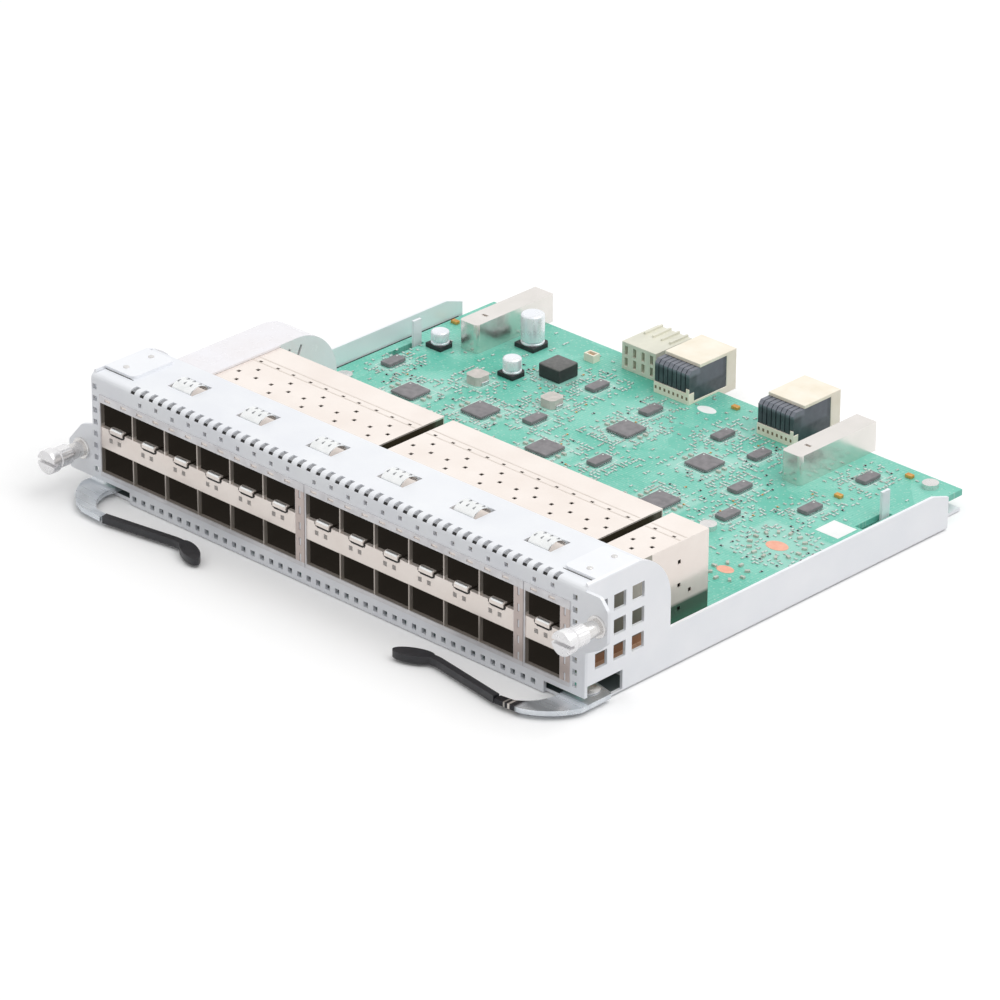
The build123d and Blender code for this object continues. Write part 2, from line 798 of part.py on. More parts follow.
# Air guide: a thin moulded hood over the first port column that curves down behind the cage
with BuildPart() as air_guide:
    guide_left = cage_places["left"][0] - guide_side_gap - guide_sheet
    guide_right = cage_places["left"][0] + cage_sheet + port_pitch
    guide_bottom = board_top + guide_lift
    guide_top = cage_top + guide_clearance + guide_sheet
    guide_front = face_front + guide_start
    guide_rear = face_front + guide_end
    # Outer hood, then the hollow that leaves a wall of one sheet and is open below and in front
    hood_shells = ((0, guide_front, Mode.ADD), (guide_sheet, guide_front - 1, Mode.SUBTRACT))
    for wall, shell_front, shell_mode in hood_shells:
        shell_bottom = guide_bottom - wall
        with BuildSketch(Plane.YZ.offset(guide_left + wall)):
            with BuildLine():
                Polyline(
                    (guide_rear - guide_round, guide_top - wall),
                    (shell_front, guide_top - wall),
                    (shell_front, shell_bottom),
                    (guide_rear - wall, shell_bottom),
                    (guide_rear - wall, guide_top - guide_round),
                )
                RadiusArc(
                    (guide_rear - wall, guide_top - guide_round),
                    (guide_rear - guide_round, guide_top - wall),
                    -(guide_round - wall),
                )
            make_face()
        extrude(amount=guide_right - guide_left - 2 * wall, mode=shell_mode)
    # The cage stands in the front stretch, so the right wall starts behind it
    with BuildSketch(Plane.XY.offset(cage_top + guide_clearance)):
        with Locations((guide_right - guide_sheet, guide_front)):
            cage_room = cage_rear + connector_gap - guide_front
            Rectangle(guide_sheet, cage_room, align=bottom_left)
    extrude(amount=-(cage_top + guide_clearance - guide_bottom), mode=Mode.SUBTRACT)
    # Long left edge rounded, and two slanted slots in the right wall
    left_edges = air_guide.edges().filter_by(Axis.Y).filter_by(
        lambda edge: abs(edge.center().X - guide_left) < 0.01
    )
    fillet(left_edges.group_by(Axis.Z)[-1], guide_sheet * 0.9)
    with BuildSketch(Plane.YZ.offset(guide_right)):
        slot_y = cage_rear + guide_sheet + guide_slot_pitch
        with Locations((slot_y, guide_top - guide_slot_pitch)):
            with GridLocations(guide_slot_pitch, 1, 2, 1):
                Rectangle(guide_slot_length, guide_slot_width, rotation=90 - guide_slot_slant)
    extrude(amount=-guide_sheet, mode=Mode.SUBTRACT)
air_guide.part.label = "air_guide"
export_step(air_guide.part, "parts/air_guide.step")

# Ejector levers, their moulded grips and the shoulder rivets they turn on, and captive screws
lever_bottom = tray_sheet + lever_lift
lever_top = lever_bottom + lever_sheet
arm_middle = lever_ahead - lever_arm_width / 2
grip_slope = (arm_middle - grip_elbow[1]) / (grip_elbow[0] - lever_reach)
screw_places = {
    "left": (-half_width - screw_left_offset, screw_left_height),
    "right": (half_width + screw_right_offset, screw_right_height),
}
for side_name, side in (("left", -1), ("right", 1)):

    def lever_point(inward, ahead):
        """Plan point of a lever, inwards from the card's side wall and ahead of the face."""
        return (side * (half_width - inward), face_front - ahead)

    def along_grip(inward):
        """Plan point on the straight middle line of the grip."""
        return lever_point(inward, arm_middle - grip_slope * (inward - lever_reach))

    pivot_point = lever_point(pivot_inset, -pivot_setback)
    tongue_root = along_grip(lever_reach - grip_gap)
    with BuildPart() as lever_arm:
        with BuildSketch(Plane.XY.offset(lever_bottom)):
            with BuildLine():
                Line(lever_point(-claw_reach, -claw_back), lever_point(-claw_reach, claw_front))
                ThreePointArc(
                    lever_point(-claw_reach, claw_front),
                    lever_point(*lever_outer_bow),
                    lever_point(*lever_outer_end),
                )
                Polyline(
                    lever_point(*lever_outer_end),
                    lever_point(lever_reach, lever_ahead),
                    lever_point(lever_reach, lever_ahead - lever_arm_width),
                    lever_point(*lever_inner_start),
                )
                ThreePointArc(
                    lever_point(*lever_inner_start),
                    lever_point(*lever_inner_bow),
                    lever_point(*lever_inner_end),
                )
                Line(
                    lever_point(*lever_inner_end),
                    lever_point(pivot_inset + lever_eye, -pivot_setback),
                )
                RadiusArc(
                    lever_point(pivot_inset + lever_eye, -pivot_setback),
                    lever_point(pivot_inset, -pivot_setback - lever_eye),
                    side * lever_eye,
                )
                Line(
                    lever_point(pivot_inset, -pivot_setback - lever_eye),
                    lever_point(-claw_reach, -claw_back),
                )
            make_face()
            with Locations(pivot_point):
                Circle(pivot_radius + pivot_clearance, mode=Mode.SUBTRACT)
            with BuildLine():
                Line(tongue_root, along_grip(lever_reach + tongue_length))
            trace(line_width=tongue_width)
        extrude(amount=lever_sheet)
        claw_edges = lever_arm.edges().filter_by(Axis.Z).group_by(Axis.X)[-1 if side > 0 else 0]
        fillet(claw_edges, claw_round)
    lever_arm.part.label = f"lever_arm_{side_name}"
    export_step(lever_arm.part, f"parts/lever_arm_{side_name}.step")

    with BuildPart() as lever_grip:
        with BuildSketch(Plane.XY.offset(lever_bottom + (lever_sheet - grip_height) / 2)):
            with BuildLine():
                FilletPolyline(
                    along_grip(lever_reach + grip_gap),
                    lever_point(*grip_elbow),
                    lever_point(*grip_tip),
                    radius=grip_bend,
                )
            trace(line_width=grip_width)
            with Locations(lever_point(*grip_tip)):
                Ellipse(grip_tip_length / 2, grip_tip_width / 2, rotation=side * grip_tip_slant)
        extrude(amount=grip_height)
        with BuildSketch(Plane.XY.offset(lever_bottom - tongue_gap)):
            with BuildLine():
                Line(tongue_root, along_grip(lever_reach + tongue_length + tongue_gap))
            trace(line_width=tongue_width + 2 * tongue_gap)
        extrude(amount=lever_sheet + 2 * tongue_gap, mode=Mode.SUBTRACT)
    lever_grip.part.label = f"lever_grip_{side_name}"
    export_step(lever_grip.part, f"parts/lever_grip_{side_name}.step")

    with BuildPart() as lever_rivet:
        with BuildSketch(Plane.XY):
            with Locations(pivot_point):
                Circle(pivot_radius)
        extrude(amount=lever_top + pivot_head_gap)
        with BuildSketch(Plane.XY.offset(lever_top + pivot_head_gap)):
            with Locations(pivot_point):
                Circle(pivot_head)
        extrude(amount=pivot_head_height)
    lever_rivet.part.label = f"lever_rivet_{side_name}"
    export_step(lever_rivet.part, f"parts/lever_rivet_{side_name}.step")

    # Captive screw: sleeve in the ear, threaded shaft with its knob, and the bush that it turns on
    screw_place = screw_places[side_name]
    sleeve_front = face_front - sleeve_neck
    sleeve_rear = tray_front + sleeve_tail
    knob_rear = sleeve_front + knob_lap
    knob_front = knob_rear - knob_length
    cup_bottom = knob_rear - knob_cup_depth
    with BuildPart() as screw_sleeve:
        with BuildSketch(plane_at_y(face_front)):
            with Locations(screw_place):
                Circle(sleeve_flange)
        extrude(amount=sleeve_flange_sheet)
        with BuildSketch(plane_at_y(sleeve_front)):
            with Locations(screw_place):
                Circle(sleeve_radius)
        extrude(amount=-(sleeve_rear - sleeve_front))
        with BuildSketch(plane_at_y(sleeve_front)):
            with Locations(screw_place):
                Circle(thread_radius + bore_clearance)
        extrude(amount=-(sleeve_rear - sleeve_front), mode=Mode.SUBTRACT)
    screw_sleeve.part.label = f"screw_sleeve_{side_name}"
    export_step(screw_sleeve.part, f"parts/screw_sleeve_{side_name}.step")

    with BuildPart() as captive_screw:
        with BuildSketch(plane_at_y(knob_front)):
            with Locations(screw_place):
                Circle(knob_head_radius)
        extrude(amount=-knob_head_length)
        with BuildSketch(plane_at_y(knob_front)):
            with Locations(screw_place):
                Circle(knob_radius)
        extrude(amount=-knob_length)
        with BuildSketch(plane_at_y(knob_rear)):
            with Locations(screw_place):
                Circle(knob_cup_radius)
        extrude(amount=knob_cup_depth, mode=Mode.SUBTRACT)
        with BuildSketch(plane_at_y(knob_front)):
            with Locations(screw_place):
                Rectangle(2 * knob_head_radius, screwdriver_slot)
        extrude(amount=-screwdriver_depth, mode=Mode.SUBTRACT)
        with BuildSketch(plane_at_y(cup_bottom)):
            with Locations(screw_place):
                Circle(thread_radius)
        extrude(amount=-(sleeve_rear + thread_reach - cup_bottom))
        with BuildSketch(plane_at_y(sleeve_rear + collar_gap)):
            with Locations(screw_place):
                Circle(collar_radius)
        extrude(amount=-collar_sheet)
    captive_screw.part.label = f"captive_screw_{side_name}"
    export_step(captive_screw.part, f"parts/captive_screw_{side_name}.step")

    with BuildPart() as thrust_bush:
        with BuildSketch(plane_at_y(cup_bottom + bush_gap)):
            with Locations(screw_place):
                Circle(bush_radius)
                Circle(thread_radius + bore_clearance, mode=Mode.SUBTRACT)
        extrude(amount=-bush_length)
    thrust_bush.part.label = f"thrust_bush_{side_name}"
    export_step(thrust_bush.part, f"parts/thrust_bush_{side_name}.step")

# Square flat chips
square_spots = [board_spot(*place) for place in square_chip_places]
with BuildPart() as square_chips:
    with BuildSketch(Plane.XY.offset(board_top)):
        with Locations(*square_spots):
            Rectangle(square_chip, square_chip)
    extrude(amount=square_chip_height)
square_chips.part.label = "square_chips"
export_step(square_chips.part, "parts/square_chips.step")

# Small rectangular chips, long side towards the rear
with BuildPart() as small_chips:
    with BuildSketch(Plane.XY.offset(board_top)):
        with Locations(*[board_spot(*place) for place in small_chip_places]):
            Rectangle(small_chip_x, small_chip_y)
    extrude(amount=small_chip_height)
small_chips.part.label = "small_chips"
export_step(small_chips.part, "parts/small_chips.step")

# Tall power module
with BuildPart() as tall_module:
    with BuildSketch(Plane.XY.offset(board_top)):
        with Locations(board_spot(*tall_module_place)):
            Rectangle(tall_module_side, tall_module_side)
    extrude(amount=tall_module_height)
    chamfer(tall_module.edges().group_by(Axis.Z)[-1], tall_module_chamfer)
tall_module.part.label = "tall_module"
export_step(tall_module.part, "parts/tall_module.step")

# Inductors with cut corners
with BuildPart() as inductors:
    with BuildSketch(Plane.XY.offset(board_top)):
        with Locations(*[board_spot(*place) for place in inductor_places]):
            Rectangle(inductor, inductor)
    extrude(amount=inductor_height)
    chamfer(inductors.edges().filter_by(Axis.Z), inductor_chamfer)
inductors.part.label = "inductors"
export_step(inductors.part, "parts/inductors.step")

# Bases of the electrolytic capacitors
with BuildPart() as capacitor_bases:
    for place, radius, height in capacitors:
        with BuildSketch(Plane.XY.offset(board_top)):
            with Locations(board_spot(*place)):
                base_side = 2 * (radius + can_base_margin)
                Rectangle(base_side, base_side)
        extrude(amount=can_base_height)
capacitor_bases.part.label = "capacitor_bases"
export_step(capacitor_bases.part, "parts/capacitor_bases.step")

# Cans on the bases
with BuildPart() as capacitor_cans:
    for place, radius, height in capacitors:
        with BuildSketch(Plane.XY.offset(board_top + can_base_height)):
            with Locations(board_spot(*place)):
                Circle(radius)
        extrude(amount=height - can_base_height)
capacitor_cans.part.label = "capacitor_cans"
export_step(capacitor_cans.part, "parts/capacitor_cans.step")

# Small passive parts in rings round the two power pads and in pairs beside the square chips
with BuildPart() as passives:
    with BuildSketch(Plane.XY.offset(board_top)):
        with Locations(board_spot(*large_ring_place)):
            with PolarLocations(large_ring_radius, large_ring_count):
                Rectangle(passive_x, passive_y)
        with Locations(board_spot(*small_ring_place)):
            with PolarLocations(small_ring_radius, small_ring_count):
                Rectangle(passive_x, passive_y)
        with Locations(*square_spots):
            with GridLocations(square_chip + 3 * passive_x, 3 * passive_y, 2, 2):
                Rectangle(passive_x, passive_y)
    extrude(amount=passive_height)
passives.part.label = "passives"
export_step(passives.part, "parts/passives.step")

# Small open header
with BuildPart() as pin_header:
    with BuildSketch(Plane.XY.offset(board_top)):
        with Locations(board_spot(*header_place)):
            Rectangle(header_x, header_y)
    extrude(amount=header_height)
    with BuildSketch(Plane.XY.offset(board_top + header_height)):
        with Locations(board_spot(*header_place)):
            Rectangle(header_x - 2 * header_wall, header_y - 2 * header_wall)
    extrude(amount=-(header_height - header_wall), mode=Mode.SUBTRACT)
pin_header.part.label = "pin_header"
export_step(pin_header.part, "parts/pin_header.step")

# Backplane connectors: ivory housing with foot, cover and shroud, and a stack of wafers
shroud_rear = board_rear + backplane_reach
shroud_front = shroud_rear - backplane_shroud
cover_top = board_top + backplane_height
cover_bottom = cover_top - backplane_cover
foot_top = board_top + backplane_foot_height
seat_top = board_top + backplane_seat
connector_y = board_rear - backplane_front
wafer_pitch = backplane_width / wafer_count
for side_name, across in backplane_shares.items():
    connector_x = board_spot(across, 1)[0]
    connector_left = connector_x - backplane_width / 2
    with BuildPart() as backplane_housing:
        with BuildSketch(Plane.YZ.offset(connector_left)):
            with BuildLine():
                Polyline(
                    (connector_y, board_top),
                    (board_rear + fit_gap, board_top),
                    (board_rear + fit_gap, board_top - backplane_drop),
                    (shroud_rear, board_top - backplane_drop),
                    (shroud_rear, cover_top),
                    (connector_y + backplane_cover_start, cover_top),
                    (connector_y + backplane_cover_start, cover_bottom),
                    (shroud_front, cover_bottom),
                    (shroud_front, seat_top),
                    (connector_y + backplane_foot, seat_top),
                    (connector_y + backplane_foot, foot_top),
                    (connector_y, foot_top),
                    close=True,
                )
            make_face()
        extrude(amount=backplane_width)
        # Mating slots in the shroud's rear face, one for each wafer
        with BuildSketch(plane_at_y(shroud_rear)):
            with Locations((connector_x, (board_top - backplane_drop + cover_top) / 2)):
                with GridLocations(wafer_pitch, 1, wafer_count, 1):
                    mating_height = backplane_height + backplane_drop - 2 * backplane_wall
                    Rectangle(mating_slot, mating_height)
        extrude(amount=backplane_shroud - backplane_wall, mode=Mode.SUBTRACT)
    backplane_housing.part.label = f"backplane_housing_{side_name}"
    export_step(backplane_housing.part, f"parts/backplane_housing_{side_name}.step")

    with BuildPart() as backplane_wafers:
        for wafer in range(wafer_count):
            wafer_left = connector_left + wafer * wafer_pitch + wafer_gap / 2
            with BuildSketch(Plane.YZ.offset(wafer_left)):
                with BuildLine():
                    Polyline(
                        (connector_y + wafer_gap, foot_top),
                        (connector_y + backplane_foot, foot_top),
                        (connector_y + backplane_foot, seat_top),
                        (shroud_front, seat_top),
                        (shroud_front, cover_bottom),
                        (connector_y + wafer_gap + wafer_chamfer, cover_bottom),
                        (connector_y + wafer_gap, cover_bottom - wafer_chamfer),
                        close=True,
                    )
                make_face()
            extrude(amount=wafer_pitch - wafer_gap)
    backplane_wafers.part.label = f"backplane_wafers_{side_name}"
    export_step(backplane_wafers.part, f"parts/backplane_wafers_{side_name}.step")

# Power connector with blade slots in front and behind, and ribs on top
power_x = board_spot(power_share, 1)[0]
power_start = board_rear - power_front
power_end = board_rear + power_reach
power_pitch = power_width / power_blade_count
with BuildPart() as power_connector:
    with BuildSketch(Plane.XY.offset(board_top)):
        with Locations((power_x, power_start)):
            Rectangle(power_width, power_end - power_start, align=bottom_middle)
    extrude(amount=power_height)
    for slot_face, depth in ((power_start, -power_slot_depth), (power_end, power_reach)):
        with BuildSketch(plane_at_y(slot_face)):
            with Locations((power_x, board_top + power_height / 2)):
                with GridLocations(power_pitch, 1, power_blade_count, 1):
                    Rectangle(power_blade_slot, power_height - 2 * power_blade_slot)
        extrude(amount=depth, mode=Mode.SUBTRACT)
    with BuildSketch(Plane.XY.offset(board_top + power_height)):
        with Locations((power_x, power_end - power_reach)):
            with GridLocations(power_pitch, 1, power_blade_count, 1):
                Rectangle(power_rib, power_reach, align=bottom_middle)
    extrude(amount=power_rib)
power_connector.part.label = "power_connector"
export_step(power_connector.part, "parts/power_connector.step")

# Guide blocks with a bore for the chassis guide pins
for side_name, across in guide_block_shares.items():
    block_x = board_spot(across, 1)[0]
    block_rear = board_rear + guide_block_reach
    with BuildPart() as guide_block:
        with BuildSketch(plane_at_y(block_rear)):
            with Locations((block_x, board_top)):
                Rectangle(guide_block_width, guide_block_height, align=bottom_middle)
        extrude(amount=guide_block_length)
        fillet(guide_block.edges().filter_by(Axis.Z).group_by(Axis.Y)[0], guide_block_round)
        with BuildSketch(plane_at_y(block_rear)):
            with Locations((block_x, board_top + guide_bore_height)):
                Circle(guide_bore_radius)
        extrude(amount=guide_bore_depth, mode=Mode.SUBTRACT)
        with BuildSketch(Plane.XY.offset(board_top + guide_block_height)):
            with Locations((block_x, block_rear - guide_block_length + guide_block_width)):
                Rectangle(2 * guide_hole, guide_hole)
        extrude(amount=-guide_hole, mode=Mode.SUBTRACT)
    guide_block.part.label = f"guide_block_{side_name}"
    export_step(guide_block.part, f"parts/guide_block_{side_name}.step")
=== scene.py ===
"""Looks of a switch line card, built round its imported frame.

The card is a folded tray with a perforated faceplate, ganged port cages on a green circuit board,
rear connectors, two ejector levers and two captive screws. Sizes are in millimetres in the row's
frame: X across the card, Y from the faceplate towards the rear, Z up from the tray's underside.
"""

import logging
import math
import random
from dataclasses import dataclass, field, replace
from enum import Enum
from typing import Callable, Iterable, Optional, Sequence

import bmesh
import bpy
from mathutils import Matrix, Vector


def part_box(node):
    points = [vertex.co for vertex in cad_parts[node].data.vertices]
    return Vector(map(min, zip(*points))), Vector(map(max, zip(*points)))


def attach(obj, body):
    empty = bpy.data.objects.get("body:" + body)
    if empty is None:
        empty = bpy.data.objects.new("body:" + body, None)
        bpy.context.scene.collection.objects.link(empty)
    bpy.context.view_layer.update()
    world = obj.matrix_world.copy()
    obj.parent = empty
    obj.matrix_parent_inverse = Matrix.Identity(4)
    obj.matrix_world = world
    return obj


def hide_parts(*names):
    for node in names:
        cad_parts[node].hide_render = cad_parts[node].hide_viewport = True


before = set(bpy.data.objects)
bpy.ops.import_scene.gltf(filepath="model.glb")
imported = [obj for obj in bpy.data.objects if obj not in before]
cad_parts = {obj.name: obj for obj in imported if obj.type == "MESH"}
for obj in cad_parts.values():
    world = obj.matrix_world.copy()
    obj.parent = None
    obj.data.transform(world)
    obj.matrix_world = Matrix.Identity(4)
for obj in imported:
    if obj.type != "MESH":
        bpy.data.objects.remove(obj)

LOG = logging.getLogger("line_card")
METRES = 0.001
Point = tuple[float, float, float]
Colour = tuple[float, float, float, float]
CAGES = ("left", "middle", "right")


class Body(Enum):
    """Bodies of the frame that new pieces ride on."""

    CARD = "card"
    SCREW_LEFT = "screw_left"
    SCREW_RIGHT = "screw_right"


class Side(Enum):
    """Side of the card, as the sign of X."""

    LEFT = -1
    RIGHT = 1

    @property
    def word(self) -> str:
        """Lower-case name, as the frame's nodes use it."""
        return self.name.lower()


def srgb(red: float, green: float, blue: float) -> Colour:
    """Turns a display colour into the linear colour that shaders use.

    Args:
        red: Red from 0 to 255.
        green: Green from 0 to 255.
        blue: Blue from 0 to 255.

    Returns:
        The linear colour with full alpha.
    """

    def linear(level: float) -> float:
        """One channel, from 0 to 255, made linear."""
        share = level / 255
        return share / 12.92 if share <= 0.04045 else ((share + 0.055) / 1.055) ** 2.4

    return (linear(red), linear(green), linear(blue), 1.0)


class Tones:
    """Colours laid over finishes: painted shade, bounce light, reflections and a highlight, other
    tones of the parts, the board's traces and vias, and the ports' painted glow.
    """

    # Painted shade on the tray's floor and walls at the lever notches.
    NOTCH_SHADE = srgb(92, 98, 100)
    # Painted brown bounce light, on the board behind the right vents and on the right cage's side
    # above the lower vents.
    PAINTED_BROWN_BOUNCE = srgb(196, 158, 130)
    # Painted shade on the board in the gaps between the cages.
    BOARD_GAP = srgb(70, 62, 42)
    BOARD_HALO = srgb(160, 214, 200)
    # Painted shade on the ports' inner walls near the mouth, and darker painted shade deeper in.
    MOUTH_SHADE = srgb(186, 177, 168)
    DEEP_SHADE = srgb(40, 35, 31)
    # Painted shade on the cages' sides that face the gaps between them.
    CAGE_GAP = srgb(84, 76, 60)
    # Painted shade on the right cage's side behind the vents.
    SHADE_BEHIND_VENTS = srgb(160, 157, 146)
    # Painted reflection of the green board at the foot of the right cage's side.
    GREEN_FOOT = srgb(86, 116, 98)
    GASKET_STRIP = srgb(204, 190, 184)
    MODULE_SIDE = srgb(48, 48, 49)
    WAFER_CROWN = srgb(116, 120, 130)
    # Painted highlight on the wafers' outer side.
    WAFER_SHEEN = srgb(122, 126, 140)
    # Painted reflections on the right lever: a dark stretch and two light bands.
    LEVER_BLACK = srgb(44, 44, 48)
    FIRST_REFLECTED_BAND = srgb(170, 165, 160)
    SECOND_REFLECTED_BAND = srgb(214, 208, 202)
    TRACE = srgb(168, 226, 210)
    VIA = srgb(190, 222, 208)
    # Colour of a painted glow deep in the ports, where there is no lamp.
    WARM_GLOW = srgb(255, 236, 214)
    NO_LIGHT = (0.0, 0.0, 0.0, 1.0)


@dataclass(frozen=True)
class Box:
    """Upright box in millimetres, by its lowest and highest corner."""

    low: Vector
    high: Vector

    @property
    def centre(self) -> Vector:
        """Middle of the box."""
        return (self.low + self.high) / 2

    @property
    def size(self) -> Vector:
        """Extent along each axis."""
        return self.high - self.low

    def clear_of(self, x: float, y: float, margin: float) -> bool:
        """Whether a plan point lies outside the box by more than the margin."""
        across = max(self.low.x - x, x - self.high.x)
        along = max(self.low.y - y, y - self.high.y)
        return max(across, along) > margin


def node_box(name: str) -> Box:
    """Box of a CAD node at rest, in millimetres."""
    low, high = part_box(name)
    return Box(low / METRES, high / METRES)


def island_boxes(name: str) -> list[Box]:
    """Finds the separate solids of a CAD node.

    Args:
        name: The node's name.

    Returns:
        The box of each solid, in order of its lowest X and then its lowest Y.
    """
    mesh = bmesh.new()
    mesh.from_mesh(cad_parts[name].data)
    bmesh.ops.remove_doubles(mesh, verts=mesh.verts, dist=1e-7)
    found, seen = [], set()
    for start in mesh.verts:
        if start in seen:
            continue
        stack, corners = [start], []
        seen.add(start)
        while stack:
            vert = stack.pop()
            corners.append(vert.co / METRES)
            for edge in vert.link_edges:
                other = edge.other_vert(vert)
                if other not in seen:
                    seen.add(other)
                    stack.append(other)
        low = Vector([min(corner[axis] for corner in corners) for axis in range(3)])
        high = Vector([max(corner[axis] for corner in corners) for axis in range(3)])
        found.append(Box(low, high))
    mesh.free()
    return sorted(found, key=lambda box: (round(box.low.x, 2), round(box.low.y, 2)))


class NodeSheet:
    """Adds nodes to a tree and joins their sockets."""

    def __init__(self, tree: bpy.types.NodeTree) -> None:
        """Keeps the tree that the nodes go into."""
        self.tree = tree

    def add(self, kind: str, **settings: object) -> bpy.types.Node:
        """Adds one node.

        Args:
            kind: Shader node type without its prefix, such as TexNoise.
            **settings: Properties that are set on the node.

        Returns:
            The new node.
        """
        node = self.tree.nodes.new(f"ShaderNode{kind}")
        for name, value in settings.items():
            setattr(node, name, value)
        return node

    def join(self, source: bpy.types.NodeSocket, target: bpy.types.NodeSocket) -> None:
        """Links one socket to another."""
        self.tree.links.new(source, target)

    def math(self, operation: str, *values: object, kind: str = "Math") -> bpy.types.NodeSocket:
        """Adds a maths node.

        Args:
            operation: Blender's name of the operation.
            *values: Socket or plain value for each input in turn.
            kind: Math, or VectorMath for vectors.

        Returns:
            The result's socket.
        """
        node = self.add(kind, operation=operation)
        for index, value in enumerate(values):
            self.feed(value, node.inputs[index])
        return node.outputs[0]

    def feed(self, value: object, target: bpy.types.NodeSocket) -> None:
        """Links a socket to the target, or sets a plain value on it."""
        if isinstance(value, bpy.types.NodeSocket):
            self.join(value, target)
        else:
            target.default_value = value

    def span(self, value: object, low: float, high: float, start: object, end: object) -> object:
        """Adds a Map Range node.

        Args:
            value: Socket that is mapped.
            low: Value that gives the start.
            high: Value that gives the end.
            start: Result at the low value.
            end: Result at the high value.

        Returns:
            The result's socket.
        """
        node = self.add("MapRange", clamp=True)
        for index, item in enumerate((value, low, high, start, end)):
            self.feed(item, node.inputs[index])
        return node.outputs[0]

    def mix(self, factor: object, first: object, second: object) -> bpy.types.NodeSocket:
        """Adds a colour mix.

        Args:
            factor: Share of the second colour.
            first: Socket or colour at a factor of 0.
            second: Socket or colour at a factor of 1.

        Returns:
            The mixed colour's socket.
        """
        node = self.add("Mix", data_type="RGBA")
        self.feed(factor, node.inputs[0])
        self.feed(first, node.inputs[6])
        self.feed(second, node.inputs[7])
        return node.outputs[2]

    def object_point(self) -> bpy.types.NodeSocket:
        """Object coordinates, in metres in the frame."""
        return self.add("TexCoord").outputs["Object"]


class Effect(Enum):
    """Shader node groups that several finishes share."""

    MOTTLE = "mottle_effect"
    TWO_TONE = "two_tone_effect"
    GRAIN = "grain_effect"
    BRUSHED = "brushed_effect"
    INSIDE = "inside_effect"


